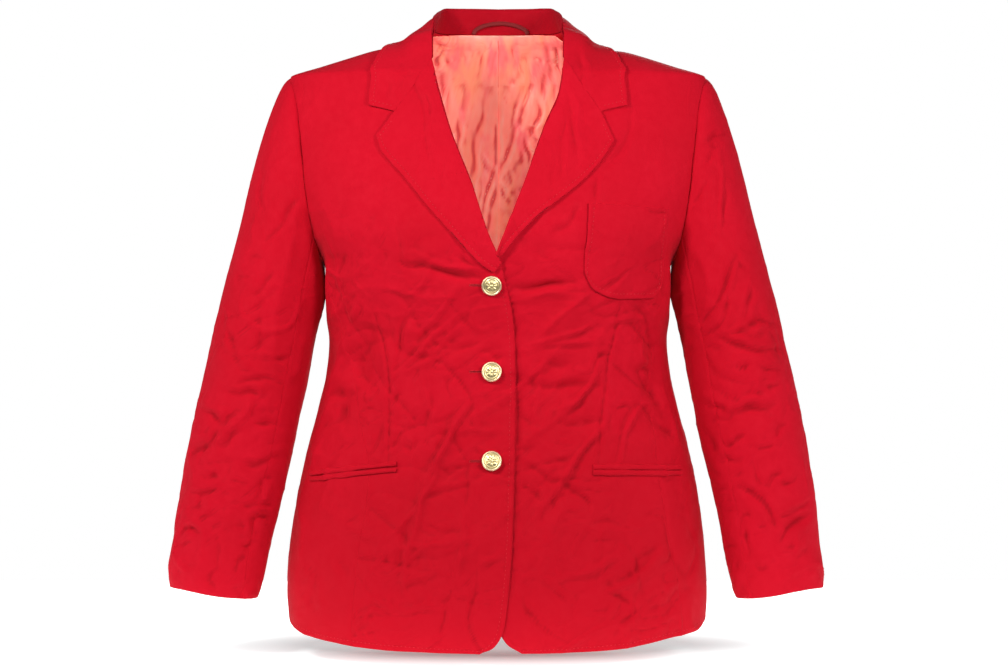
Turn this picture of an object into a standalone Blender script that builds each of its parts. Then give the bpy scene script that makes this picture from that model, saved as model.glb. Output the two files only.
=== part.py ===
"""A worn-looking blazer, built from its cut pieces as thin cloth walls.

The jacket keeps the shape of somebody wearing it: every panel is a thin wall
through sections of the figure, worked out from the tables below.  All tables
are in millimetres and degrees; the mesh is written in metres with +Z up.
+X is the wearer's left, -Y is the front, and the origin is on the centre
plane at the height of the shoulder points.
"""
import math

import bmesh
import bpy
import numpy as np
from mathutils.bvhtree import BVHTree

MM = 0.001
SEAM_GAP = 0.3

CLOTH = 1.8
SLEEVE_CLOTH = 1.7
LAPEL_CLOTH = 2.2
COLLAR_CLOTH = 2.2
LINING_CLOTH = 1.0
WELT_CLOTH = 1.4
PATCH_CLOTH = 1.6

RED = (0.72, 0.013, 0.034, 1.0)
CORAL = (0.93, 0.27, 0.17, 1.0)
GOLD = (0.80, 0.55, 0.24, 1.0)
BRAID = (0.20, 0.035, 0.025, 1.0)

# Levels run up the torso.  Below the shoulder a level is the height itself;
# over the shoulder it follows the slope, so that it never bunches up there.
SLOPE_TOP_LEVEL = 167.0
SLOPE_TOP_Z = 50.0

# level, half width at the side, depth in front, depth behind, squareness
TORSO = np.array([
    (-680, 238.0, 137.0, 132.0, 2.2),
    (-600, 236.0, 136.0, 131.0, 2.2),
    (-575, 235.0, 135.0, 130.0, 2.2),
    (-530, 232.0, 133.0, 128.0, 2.2),
    (-493, 228.0, 130.0, 125.0, 2.2),
    (-455, 221.5, 127.0, 120.0, 2.2),
    (-414, 212.0, 123.0, 113.0, 2.2),
    (-365, 199.5, 118.0, 103.0, 2.2),
    (-335, 192.5, 116.0, 98.0, 2.2),
    (-293, 188.5, 116.0, 97.0, 2.2),
    (-258, 194.5, 122.0, 102.0, 2.2),
    (-230, 195.5, 129.0, 107.0, 2.2),
    (-215, 197.0, 132.0, 109.0, 2.2),
    (-205, 199.0, 133.5, 111.0, 2.2),
    (-196, 204.0, 134.5, 112.0, 2.2),
    (-178, 214.5, 135.0, 114.0, 2.2),
    (-152, 223.5, 131.0, 115.0, 2.2),
    (-126, 232.0, 123.0, 114.5, 2.2),
    (-100, 238.0, 113.0, 112.0, 2.2),
    (-75, 243.5, 101.5, 109.0, 2.2),
    (-51, 245.0, 92.0, 104.0, 2.2),
    (-29, 242.0, 84.0, 98.0, 2.2),
    (-10, 235.0, 78.0, 93.0, 2.2),
    (0, 231.0, 75.0, 90.0, 2.2),
    (33.4, 199.0, 69.0, 85.0, 2.2),
    (66.8, 167.0, 64.0, 80.0, 2.2),
    (100.2, 135.0, 60.0, 75.0, 2.25),
    (133.6, 104.0, 55.0, 69.0, 2.35),
    (167, 72.0, 50.0, 62.0, 2.6),
    (200, 66.0, 47.0, 60.0, 2.7),
])

# angle round the torso from the front, height of the hem there
HEM = np.array([
    (0, -631.0), (25, -629.0), (54, -621.0), (65, -616.5), (90, -604.0),
    (130, -601.0), (180, -600.0),
])

# Rows of the body pieces from the hem up to the foot of the armhole:
# height at the side seams, height at the centre back
BODY_ROWS = np.array([
    (-612, -600), (-602, -590), (-588, -575), (-560, -546), (-528, -514),
    (-496, -482), (-464, -450), (-432, -418), (-400, -386), (-367, -354),
    (-333, -322), (-299, -288), (-262, -252), (-220, -212), (-178, -170),
])

# x and z of the front edges, one point per body row
RIGHT_FRONT_EDGE = np.array([
    (-20, -631), (-3, -620.5), (6, -605), (11, -572), (14, -538),
    (16, -504), (17, -470), (18, -436), (18.5, -402), (19, -368),
    (19.3, -334), (18.5, -300), (15.5, -266), (9, -238), (3, -212),
])
LEFT_FRONT_EDGE = np.array([
    (26, -629.5), (10, -619), (0, -604), (-9, -572), (-14, -538),
    (-17, -504), (-18, -470), (-19, -436), (-19, -402), (-19, -368),
    (-19, -334), (-18, -300), (-14, -266), (-6, -238), (3, -210),
])
# x and z of the lines where the lapels turn over, upwards to the gorge
RIGHT_ROLL = np.array([
    (3, -212), (-13.9, -174), (-29, -126.6), (-50, -71), (-63, -23.4), (-71, 13.5),
])
LEFT_ROLL = np.array([
    (3, -210), (12, -166), (28, -124), (50, -62), (66, -23), (73, 13.5),
])

# z and x of the seams between the fronts and the side panels
RIGHT_SIDE_SEAM = np.array([
    (-640, -161), (-558, -154.5), (-529, -152), (-507, -147.5), (-471, -143),
    (-442, -140), (-410, -143), (-393, -149.8), (-361, -154), (-329, -161),
    (-302, -167.5), (-275, -173), (-235, -185), (-178, -203.17),
])
LEFT_SIDE_SEAM = np.array([
    (-640, 206), (-580, 200), (-524, 190), (-484, 181), (-444, 175),
    (-380, 171), (-300, 175), (-235, 186), (-178, 203.17),
])
# angle of the seams between the side panels and the backs, by height
BACK_SIDE_SEAM = np.array([(-640, 121), (-400, 124), (-300, 126), (-178, 113.77)])

# y and z round the armhole, seen from the side
ARMHOLE_FRONT = np.array([
    (-50, -178), (-56, -152), (-57.5, -126), (-56, -100), (-52, -75),
    (-46, -51), (-37, -29), (-22, -10), (0, 0),
])
ARMHOLE_UNDER = np.array([(-50, -178), (-32, -196), (0, -205), (32, -196), (50, -178)])
ARMHOLE_BACK = np.array([
    (50, -178), (57, -152), (58.5, -126), (57, -100), (53, -75),
    (47, -50), (37, -28), (22, -9.5), (0, 0),
])
# angle round the sleeve that each armhole point runs into
SLEEVE_FRONT_ANGLES = (130, 114, 97, 80, 63, 46, 30, 14, 0)
SLEEVE_UNDER_ANGLES = (130, 155, 180, 205, 230)
SLEEVE_BACK_ANGLES = (230, 246, 263, 280, 297, 314, 330, 346, 360)

# Sleeve below its head: z, x, y of the axis, half width, half depth
SLEEVE = np.array([
    (-258, 255.0, -6.0, 56.0, 60.0),
    (-317, 266.0, -10.0, 57.0, 58.5),
    (-360, 275.0, -14.0, 57.5, 55.5),
    (-404, 284.0, -19.0, 58.0, 51.5),
    (-468, 297.0, -27.0, 56.0, 45.0),
    (-540, 310.0, -35.0, 53.0, 38.5),
    (-576, 315.5, -38.0, 52.0, 36.0),
])
SLEEVE_ROWS = (-258, -288, -320, -354, -390, -426, -463, -500, -538, -576)
HEAD_ROWS = (0.0, 0.045, 0.13, 0.31, 0.6, 1.0)
HEAD_FULLNESS = 10.0

# Neck seam, from the centre back round to the gorge: angle, level
NECK_SEAM = np.array([
    (180, 170), (152, 170), (128, 169), (108, 168), (90, 167),
    (60, 155), (35, 115), (20.2, 45),
])
# Fold of the collar above each of those points: x, y, z
COLLAR_FOLD = np.array([
    (0, 60, 81), (38, 57, 81.5), (57, 46, 80.5), (64.5, 27, 74),
    (67.5, 0, 64), (70.5, -27, 50.5), (72, -44, 37.5), (71.5, -61.5, 17),
])
# Outer edge of the collar at the same points: x, z and which side it is on
COLLAR_EDGE = np.array([
    (0, 20, 1), (52, 21, 1), (84, 25.5, 1), (106, 31.5, 1),
    (116.5, 35.8, 1), (127.0, 26.7, -1), (138.5, -4, -1), (140.5, -38, -1),
])
# Gorge seam and the two notch edges, x and z, with the right side negative
GORGE_START = (72.0, 13.5)
NOTCH = (110.5, -45.7)
RIGHT_LAPEL_TIP = (131.7, -73.5)
LEFT_LAPEL_TIP = (126.0, -78.8)
RIGHT_LAPEL_EDGE = np.array([
    (-4, -222), (-15, -215.5), (-33.2, -198), (-52.5, -176.5), (-75.3, -151.4),
    (-98.3, -122.6), (-127.4, -87.6), (-131.7, -73.5),
])
LEFT_LAPEL_EDGE = np.array([
    (4.5, -206), (24.6, -179.8), (45, -160.4), (73.1, -138.5), (90.6, -124),
    (110.6, -102.5), (126, -78.8),
])
LEFT_LAPEL_ROLL = np.array([
    (6.5, -202), (12, -166), (28, -124), (50, -62), (66, -23), (73, 13.5),
])
LAPEL_ROWS = 11
LAPEL_LIFTS = (3.3, 4.6, 4.5, 4.1, 3.8, 3.6, 3.4)
LEAF_CLEARANCE = 4.2

# Underlap of the left front: how deep it lies, and where that fades out
LAP_DEPTH = 2.7
LAP_FULL_X = 24.0
LAP_FADE_X = 60.0

PATCH_LIFT = 1.1
WELT_LIFT = 0.6
# A y well in front of the jacket, from where the pocket is cast back onto it
IN_FRONT_Y = -400.0
# Breast pocket outline in x and z: left side, bottom, right side, mouth
PATCH_LEFT = np.array([(97.1, -147.7), (96, -180), (93, -205), (92.5, -222)])
PATCH_BOTTOM = np.array([(92.5, -222), (101.4, -239), (132.5, -250), (166, -249), (176, -234)])
PATCH_RIGHT = np.array([(184, -152), (181.5, -185), (178.5, -212), (176, -234)])
PATCH_TOP = np.array([(97.1, -147.7), (140, -149.5), (184, -152)])

# Jetted pockets: x, z of the slit from its inner to its outer end
RIGHT_SLIT = np.array([(-108.7, -431), (-156, -436.5), (-206, -444.5)])
LEFT_SLIT = np.array([(102.1, -434.3), (154, -435.5), (201, -437.5)])
WELT_HEIGHT = 5.4
SLIT_HALF = 0.4
WELT_COLUMNS = 10

BUTTON_HEIGHTS = {"button_top": -235.6, "button_middle": -328.4, "button_bottom": -424.3}
BUTTON_X = -6.5
# Profile of a button from the back of its shank to the middle of its face:
# radius, height above the cloth
BUTTON_PROFILE = (
    (3.0, 0.3), (3.0, 2.2), (8.6, 2.6), (10.5, 3.3), (10.9, 4.1), (10.6, 5.0),
    (9.7, 5.5), (8.9, 5.2), (8.4, 4.9), (7.6, 5.3), (5.0, 6.3), (2.4, 6.8),
)
BUTTON_TOP_HEIGHT = 6.9
BUTTON_SEGMENTS = 36

# Hanger loop: x and z of the middle of the braid
HANGER = np.array([
    (-28, 53.6), (-26.5, 57.5), (-19, 62.4), (-8, 65.4), (3, 66.4), (14, 65.2),
    (24.5, 62), (32, 57.3), (33.5, 53.6),
])
HANGER_WIDTH = 4.6
HANGER_THICKNESS = 1.2
HANGER_CELLS = 18
HANGER_INSET = 5.2
STAND_LEAN = 0.05

SIDES = ((-1, "right"), (1, "left"))
# How many cells each kind of piece has
PANEL_COLUMNS = 9
SIDE_COLUMNS = 4
GORGE_CELLS = 4
LEAF_ROWS = 6
PATCH_CELLS = 8
TOP_COLUMNS = list(range(12, 21)) + list(range(1, 9))
UNDER_COLUMNS = list(range(8, 13))
CENTRE_BACK_LEVELS = (-114.0, -58.0, 0.0)
LINING_ROWS = list(range(9, 23))

# The collar leaf: how far it starts from the fold of its stand, the row of
# the collar tables at the shoulder, and how many rows its ends bend over
STAND_GAP = 0.6
OPENING_GAP = 0.7
GORGE_GAP = 0.4
LEAF_START_OUT = 2.8
LEAF_START_UP = 1.2
NECK_POINT = 4
BEND_REACH = 2.0
UNDERARM_GAP = 0.5
LINING_GAP = 1.6
LINING_SHORT = 2.0


def smooth(table, column, at):
    """Read a column of a table at any key with a curve that never overshoots."""
    keys = table[:, 0]
    values = table[:, column]
    if keys[0] > keys[-1]:
        keys = keys[::-1]
        values = values[::-1]
    steps = np.diff(keys)
    slopes = np.diff(values) / steps
    tangents = np.empty(len(keys))
    tangents[0] = slopes[0]
    tangents[-1] = slopes[-1]
    before = slopes[:-1]
    after = slopes[1:]
    product = before * after
    total = before + after
    safe = np.where(total == 0, 1.0, total)
    tangents[1:-1] = np.where(product > 0, 2 * product / safe, 0.0)
    at = np.clip(np.asarray(at, dtype=float), keys[0], keys[-1])
    cell = np.clip(np.searchsorted(keys, at, side="right") - 1, 0, len(steps) - 1)
    t = (at - keys[cell]) / steps[cell]
    start = values[cell] + tangents[cell] * steps[cell] * t * (1 - t) ** 2
    start = start + (values[cell + 1] - values[cell]) * t * t * (3 - 2 * t)
    return start - tangents[cell + 1] * steps[cell] * t * t * (1 - t)


def level_of(z):
    z = np.asarray(z, dtype=float)
    over_slope = z * SLOPE_TOP_LEVEL / SLOPE_TOP_Z
    above = SLOPE_TOP_LEVEL + z - SLOPE_TOP_Z
    return np.where(z < 0, z, np.where(z < SLOPE_TOP_Z, over_slope, above))


def height_of(level):
    level = np.asarray(level, dtype=float)
    on_slope = level * SLOPE_TOP_Z / SLOPE_TOP_LEVEL
    above = SLOPE_TOP_Z + level - SLOPE_TOP_LEVEL
    return np.where(level < 0, level, np.where(level < SLOPE_TOP_LEVEL, on_slope, above))


def signed_power(value, power):
    return np.sign(value) * np.abs(value) ** power


def torso(angle, level):
    """Points of the figure: 0 degrees is the centre front, 90 the wearer's left."""
    turn = np.radians(angle)
    power = 2.0 / smooth(TORSO, 4, level)
    front = smooth(TORSO, 2, level)
    back = smooth(TORSO, 3, level)
    depth = np.where(np.cos(turn) > 0, front, back)
    x = smooth(TORSO, 1, level) * signed_power(np.sin(turn), power)
    y = -depth * signed_power(np.cos(turn), power)
    return np.stack([x, y, height_of(level) + 0 * x], axis=-1)


def torso_normal(angle, level):
    round_it = torso(angle + 0.5, level) - torso(angle - 0.5, level)
    up_it = torso(angle, level + 0.5) - torso(angle, level - 0.5)
    normal = np.cross(round_it, up_it)
    return normal / np.linalg.norm(normal, axis=-1, keepdims=True)


def lifted(angle, level, lift):
    lift = np.asarray(lift, dtype=float)[..., None]
    return torso(angle, level) + torso_normal(angle, level) * lift


def front_angle(x, z):
    """Angle of the front point that shows at x, z."""
    level = level_of(z)
    ratio = np.clip(np.abs(x) / smooth(TORSO, 1, level), 0.0, 1.0)
    angle = np.degrees(np.arcsin(ratio ** (smooth(TORSO, 4, level) / 2)))
    return np.sign(x) * angle


def side_angle(y, z):
    """Angle of the wearer's left side point that lies at y, z."""
    level = level_of(z)
    column = np.where(np.asarray(y) < 0, smooth(TORSO, 2, level), smooth(TORSO, 3, level))
    ratio = (np.abs(y) / column) ** (smooth(TORSO, 4, level) / 2)
    from_front = np.degrees(np.arccos(np.clip(ratio, 0, 1)))
    return np.where(np.asarray(y) < 0, from_front, 180 - from_front)


def front_pairs(points):
    x = points[:, 0]
    z = points[:, 1]
    return np.stack([front_angle(x, z), level_of(z)], axis=-1)


def side_pairs(points, side):
    angle = side * side_angle(points[:, 0], points[:, 1])
    return np.stack([angle, level_of(points[:, 1])], axis=-1)


def resampled(points, cells):
    """Cut a line into cells of equal length."""
    points = np.asarray(points, dtype=float)
    lengths = np.linalg.norm(np.diff(points, axis=0), axis=1)
    along = np.concatenate([[0.0], np.cumsum(lengths)])
    wanted = np.linspace(0.0, along[-1], cells + 1)
    columns = [np.interp(wanted, along, points[:, i]) for i in range(points.shape[1])]
    return np.stack(columns, axis=-1)


def ruled(first, last, cells):
    """Rows of pairs that run straight from one edge to the other."""
    share = np.linspace(0.0, 1.0, cells + 1)[None, :, None]
    return first[:, None, :] * (1 - share) + last[:, None, :] * share


def coons(bottom, top, left, right):
    """Fill four edges; left and right run upwards, bottom and top run across."""
    columns = len(bottom)
    rows = len(left)
    u = np.linspace(0, 1, columns)[None, :, None]
    v = np.linspace(0, 1, rows)[:, None, None]
    across = bottom[None] * (1 - v) + top[None] * v
    upward = left[:, None] * (1 - u) + right[:, None] * u
    corners = bottom[0] * (1 - u) * (1 - v) + bottom[-1] * u * (1 - v)
    corners = corners + top[0] * (1 - u) * v + top[-1] * u * v
    return across + upward - corners


def grid_normals(grid):
    """Normals of a grid of points, pointing away from the wearer."""
    across = np.gradient(grid, axis=1)
    upward = np.gradient(grid, axis=0)
    normal = np.cross(across, upward)
    length = np.linalg.norm(normal, axis=-1, keepdims=True)
    return normal / np.maximum(length, 1e-9)


def closed_normals(grid):
    """Normals of a tube whose last column meets its first."""
    around = np.concatenate([grid[:, -2:-1], grid, grid[:, 1:2]], axis=1)
    return grid_normals(around)[:, 1:-1]


def drawn_in(grid, bottom, top, first, last):
    """Shorten the outermost cells so that neighbouring pieces stay apart."""
    grid = grid.copy()
    for edge, inner, amount in ((0, 1, bottom), (-1, -2, top)):
        step = grid[inner] - grid[edge]
        length = np.linalg.norm(step, axis=-1, keepdims=True)
        grid[edge] += step / np.maximum(length, 1e-9) * amount
    for edge, inner, amount in ((0, 1, first), (-1, -2, last)):
        step = grid[:, inner] - grid[:, edge]
        length = np.linalg.norm(step, axis=-1, keepdims=True)
        grid[:, edge] += step / np.maximum(length, 1e-9) * amount
    return grid


def material(name, colour, metallic, roughness):
    slot = bpy.data.materials.new(name)
    slot.use_nodes = True
    shader = slot.node_tree.nodes["Principled BSDF"]
    shader.inputs["Base Color"].default_value = colour
    shader.inputs["Metallic"].default_value = metallic
    shader.inputs["Roughness"].default_value = roughness
    slot.diffuse_color = colour
    return slot


def add_object(name, vertices, faces, slot):
    mesh = bpy.data.meshes.new(name)
    mesh.from_pydata([tuple(v) for v in np.asarray(vertices) * MM], [], faces)
    mesh.materials.append(slot)
    work = bmesh.new()
    work.from_mesh(mesh)
    bmesh.ops.recalc_face_normals(work, faces=work.faces)
    if work.calc_volume(signed=True) < 0:
        bmesh.ops.reverse_faces(work, faces=work.faces)
    work.to_mesh(mesh)
    work.free()
    mesh.shade_smooth()
    piece = bpy.data.objects.new(name, mesh)
    bpy.context.scene.collection.objects.link(piece)
    return piece


def add_cloth(name, grid, normals, thickness, slot):
    """A wall of cloth: the grid is its outer face."""
    rows, columns = grid.shape[:2]
    outer = grid.reshape(-1, 3)
    inner = (grid - normals * thickness).reshape(-1, 3)
    offset = rows * columns

    def at(row, column):
        return row * columns + column

    faces = []
    for row in range(rows - 1):
        for column in range(columns - 1):
            a = at(row, column)
            b = at(row, column + 1)
            c = at(row + 1, column + 1)
            d = at(row + 1, column)
            faces.append((a, b, c))
            faces.append((a, c, d))
            faces.append((offset + c, offset + b, offset + a))
            faces.append((offset + d, offset + c, offset + a))
    border = [at(0, column) for column in range(columns)]
    border += [at(row, columns - 1) for row in range(1, rows)]
    border += [at(rows - 1, column) for column in range(columns - 2, -1, -1)]
    border += [at(row, 0) for row in range(rows - 2, 0, -1)]
    for index, a in enumerate(border):
        b = border[(index + 1) % len(border)]
        faces.append((b, a, offset + a))
        faces.append((b, offset + a, offset + b))
    return add_object(name, np.vstack([outer, inner]), faces, slot)


def share_seam_normals(pieces):
    """Give points that pieces have in common one normal, so their seams mitre."""
    found = {}
    for grid, normals in pieces.values():
        for point, normal in zip(grid.reshape(-1, 3), normals.reshape(-1, 3)):
            key = tuple(np.round(point * 10).astype(int))
            found.setdefault(key, []).append(normal.copy())
    for grid, normals in pieces.values():
        flat = normals.reshape(-1, 3)
        for index, point in enumerate(grid.reshape(-1, 3)):
            key = tuple(np.round(point * 10).astype(int))
            total = np.zeros(3)
            for normal in found[key]:
                if np.dot(normal, flat[index]) > 0.1:
                    total += normal
            flat[index] = total / np.linalg.norm(total)


def faced_out(pairs, side):
    """Run the columns the way that makes the outer face look outwards."""
    return pairs if side > 0 else pairs[:, ::-1]


def front_seam_pairs(table, side):
    """Front edge of a side panel, by body row."""
    z = BODY_ROWS[:, 0].astype(float)
    x = smooth(table, 1, z)
    pairs = np.stack([front_angle(x, z), level_of(z)], axis=-1)
    pairs[-1] = side_pairs(ARMHOLE_FRONT[:1], side)[0]
    pairs[0, 1] = smooth(HEM, 1, abs(pairs[0, 0]))
    return pairs


def back_seam_pairs(side):
    """Back edge of a side panel, by body row."""
    z = BODY_ROWS[:, 0].astype(float)
    pairs = np.stack([side * smooth(BACK_SIDE_SEAM, 1, z), level_of(z)], axis=-1)
    pairs[-1] = side_pairs(ARMHOLE_BACK[:1], side)[0]
    pairs[0, 1] = smooth(HEM, 1, abs(pairs[0, 0]))
    return pairs


def front_pairs_grid(side, edge, roll, seam):
    """A front: one row per body row, then up beside the armhole."""
    neck = NECK_SEAM[:3:-1] * np.array([side, 1.0])
    inner = np.concatenate([front_pairs(edge), front_pairs(roll)[1:-1], neck])
    armhole = side_pairs(ARMHOLE_FRONT, side)
    outer = np.concatenate([front_seam_pairs(seam, side), armhole[1:]])
    pairs = ruled(inner, outer, PANEL_COLUMNS)
    pairs[0, 1:, 1] = smooth(HEM, 1, np.abs(pairs[0, 1:, 0]))
    return faced_out(pairs, side)


def back_pairs_grid(side):
    """A back: its inner edge is the centre seam and then the back of the neck."""
    z = BODY_ROWS[:, 1].astype(float)
    centre = np.stack([180.0 * side + 0 * z, level_of(z)], axis=-1)
    above = np.array([(180.0 * side, level) for level in CENTRE_BACK_LEVELS])
    neck = NECK_SEAM[:5] * np.array([side, 1.0])
    inner = np.concatenate([centre, above, neck])
    armhole = side_pairs(ARMHOLE_BACK, side)
    outer = np.concatenate([back_seam_pairs(side), armhole[1:]])
    pairs = ruled(outer, inner, PANEL_COLUMNS)
    pairs[0, :, 1] = smooth(HEM, 1, np.abs(pairs[0, :, 0]))
    return faced_out(pairs, side)


def side_pairs_grid(side, seam):
    """A side panel, whose top edge is the foot of the armhole."""
    pairs = ruled(front_seam_pairs(seam, side), back_seam_pairs(side), SIDE_COLUMNS)
    pairs[0, :, 1] = smooth(HEM, 1, np.abs(pairs[0, :, 0]))
    sag = side_pairs(ARMHOLE_UNDER, side) - pairs[-1]
    for row, share in ((-1, 1.0), (-2, 0.4), (-3, 0.1)):
        pairs[row] += sag * share
    return faced_out(pairs, side)


def under_lap(grid):
    """Let the left front lie behind the right one where they lap."""
    x = grid[..., 0]
    share = np.clip((LAP_FADE_X - x) / (LAP_FADE_X - LAP_FULL_X), 0.0, 1.0)
    share = share * share * (3 - 2 * share)
    share = np.where(grid[..., 2] > 0, 0.0, share)
    grid = grid.copy()
    grid[..., 1] += share * LAP_DEPTH
    return grid


def sleeve_tube(side):
    """Rows of rings from the armhole to the cuff, first column on the outside."""
    front = side_pairs(ARMHOLE_FRONT[::-1], side)
    under = side_pairs(ARMHOLE_UNDER[1:], side)
    back = side_pairs(ARMHOLE_BACK[1:], side)
    loop = np.concatenate([front, under, back])
    armhole = torso(loop[:, 0], loop[:, 1])
    angles = SLEEVE_FRONT_ANGLES[::-1] + SLEEVE_UNDER_ANGLES[1:] + SLEEVE_BACK_ANGLES[1:]
    turn = np.radians(np.array(angles, dtype=float))
    rings = []
    for z in SLEEVE_ROWS:
        above = np.array([smooth(SLEEVE, 1, z + 8), 0.0, z + 8])
        below = np.array([smooth(SLEEVE, 1, z - 8), 0.0, z - 8])
        axis = (below - above) / np.linalg.norm(below - above)
        outward = np.array([-axis[2], 0.0, axis[0]])
        centre = np.array([smooth(SLEEVE, 1, z), smooth(SLEEVE, 2, z), z])
        half = smooth(SLEEVE, 3, z)
        depth = smooth(SLEEVE, 4, z)
        ring = centre + np.cos(turn)[:, None] * outward * half
        ring = ring - np.sin(turn)[:, None] * np.array([0.0, depth, 0.0])
        rings.append(ring * np.array([side, 1.0, 1.0]))
    first = rings[0]
    away = first - first.mean(axis=0)
    away = away / np.linalg.norm(away, axis=-1, keepdims=True)
    fullness = HEAD_FULLNESS * np.clip((np.cos(turn) + 0.35) / 1.35, 0.0, 1.0)
    head = []
    for share in HEAD_ROWS[:-1]:
        swell = (1 - math.exp(-share / 0.04)) * (1 - share)
        ring = armhole * (1 - share) + first * share
        head.append(ring + away * (fullness * swell)[:, None])
    return np.stack(head + rings)


def part_of_tube(tube, columns, side):
    piece = tube[:, columns]
    return piece if side > 0 else piece[:, ::-1]


def clear_of_torso(points, lift):
    """Push points out until they stand at least a lift off the figure."""

    def ratio(p):
        level = level_of(p[..., 2])
        depth = np.where(p[..., 1] < 0, smooth(TORSO, 2, level), smooth(TORSO, 3, level))
        power = smooth(TORSO, 4, level)
        across = (np.abs(p[..., 0]) / smooth(TORSO, 1, level)) ** power
        along = (np.abs(p[..., 1]) / depth) ** power
        return (across + along) ** (1 / power) - 1

    points = points.copy()
    for _ in range(4):
        here = ratio(points)
        slope = np.zeros_like(points)
        for axis in range(3):
            step = np.zeros(3)
            step[axis] = 0.5
            slope[..., axis] = ratio(points + step) - ratio(points - step)
        size = np.maximum(np.linalg.norm(slope, axis=-1), 1e-6)
        distance = here / size
        push = np.clip(lift - distance, 0.0, 6.0)
        points += slope / size[..., None] * push[..., None]
    return points


def table_at(table, column, k):
    """A column of a table read between its rows."""
    keyed = np.column_stack([np.arange(len(table)), table])
    return float(smooth(keyed, column + 1, k))


def gorge_line(side):
    """The gorge seam, from the fold out to the notch, on the lapel's surface."""
    line = resampled(np.array([GORGE_START, NOTCH]), GORGE_CELLS)
    pairs = front_pairs(line * np.array([side, 1.0]))
    return lifted(pairs[:, 0], pairs[:, 1], LAPEL_LIFTS[:GORGE_CELLS + 1])


def leaf_path(side, k):
    """From the fold straight down to the edge of the collar leaf."""
    angle = side * table_at(NECK_SEAM, 0, k)
    level = table_at(NECK_SEAM, 1, k)
    fold = np.array([table_at(COLLAR_FOLD, axis, k) for axis in range(3)])
    fold[0] *= side
    out = torso_normal(angle, level) * np.array([1.0, 1.0, 0.0])
    out = out / np.linalg.norm(out)
    start = fold + out * LEAF_START_OUT + np.array([0.0, 0.0, LEAF_START_UP])
    x = table_at(COLLAR_EDGE, 0, k)
    z = table_at(COLLAR_EDGE, 1, k)
    edge_angle = front_angle(x, z) if k > NECK_POINT else 180 - front_angle(x, z)
    edge = lifted(side * edge_angle, level_of(z), LEAF_CLEARANCE)
    share = np.linspace(0, 1, LEAF_ROWS + 1)[:, None]
    return start * (1 - share) + edge * share


def leaf_grid(places):
    """The collar leaf; its ends turn down along the gorge seams."""
    last = len(NECK_SEAM) - 1
    bend = {}
    for side in (-1, 1):
        path = leaf_path(side, last)
        gorge = gorge_line(side)
        share = np.linspace(0, 1, LEAF_ROWS - GORGE_CELLS + 1)[1:, None]
        tip = gorge[-1] * (1 - share) + path[-1] * share
        bend[side] = np.concatenate([gorge, tip]) - path
    columns = []
    for side, k in places:
        path = leaf_path(side, k)
        share = max(0.0, 1 - (last - k) / BEND_REACH) ** 2
        path = path + bend[side] * share
        columns.append(path if k == last else clear_of_torso(path, LEAF_CLEARANCE))
    return np.stack(columns, axis=1)


def stand_grid(places):
    """The collar stand, from the neck seam up to the fold."""
    columns = []
    for side, k in places:
        near = NECK_SEAM[[math.floor(k), math.ceil(k)]]
        seam = torso(side * near[:, 0], near[:, 1]).mean(axis=0)
        fold = np.array([table_at(COLLAR_FOLD, axis, k) for axis in range(3)])
        fold[0] *= side
        columns.append(np.stack([seam, (seam + fold) / 2, fold]))
    return np.stack(columns[::-1], axis=1)


def lapel_grid(side, roll, edge, tip):
    """A lapel, from its roll line out to its edge."""
    gorge = resampled(np.array([GORGE_START, NOTCH]), GORGE_CELLS)
    notch = resampled(np.array([NOTCH, tip]), LEAF_ROWS - GORGE_CELLS)
    top = np.concatenate([gorge, notch[1:]]) * np.array([side, 1.0])
    left = resampled(np.concatenate([roll[:-1], top[:1]]), LAPEL_ROWS)
    right = resampled(np.concatenate([edge[:-1], top[-1:]]), LAPEL_ROWS)
    bottom = resampled(np.array([left[0], right[0]]), LEAF_ROWS)
    flat = coons(bottom, top, left, right)
    x = flat[..., 0]
    z = flat[..., 1]
    lifts = np.array(LAPEL_LIFTS)[None, :] + 0 * x
    return faced_out(lifted(front_angle(x, z), level_of(z), lifts), side)


def patch_grid(panel):
    """The breast pocket, laid on the points of the front it is sewn to."""
    left = resampled(PATCH_LEFT[::-1], PATCH_CELLS)
    right = resampled(PATCH_RIGHT[::-1], PATCH_CELLS)
    bottom = resampled(PATCH_BOTTOM, PATCH_CELLS)
    top = resampled(PATCH_TOP, PATCH_CELLS)
    flat = coons(bottom, top, left, right)
    rows, columns = panel.shape[:2]
    cells = [
        (r * columns + c, r * columns + c + 1, (r + 1) * columns + c + 1, (r + 1) * columns + c)
        for r in range(rows - 1)
        for c in range(columns - 1)
    ]
    triangles = [(a, b, c) for a, b, c, d in cells] + [(a, c, d) for a, b, c, d in cells]
    surface = BVHTree.FromPolygons([tuple(p) for p in panel.reshape(-1, 3)], triangles)
    laid = np.zeros(flat.shape[:2] + (3,))
    for index in np.ndindex(flat.shape[:2]):
        x, z = flat[index]
        laid[index] = surface.ray_cast((x, IN_FRONT_Y, z), (0.0, 1.0, 0.0))[0]
    return laid + grid_normals(laid) * (PATCH_LIFT + PATCH_CLOTH)


def welt_grid(slit, low, high, side):
    line = resampled(slit, WELT_COLUMNS)
    rows = []
    for raise_by in (low, high):
        z = line[:, 1] + raise_by
        angle = front_angle(line[:, 0], z)
        rows.append(lifted(angle, level_of(z), WELT_LIFT + WELT_CLOTH + 0 * z))
    return faced_out(np.stack(rows), side)


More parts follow.
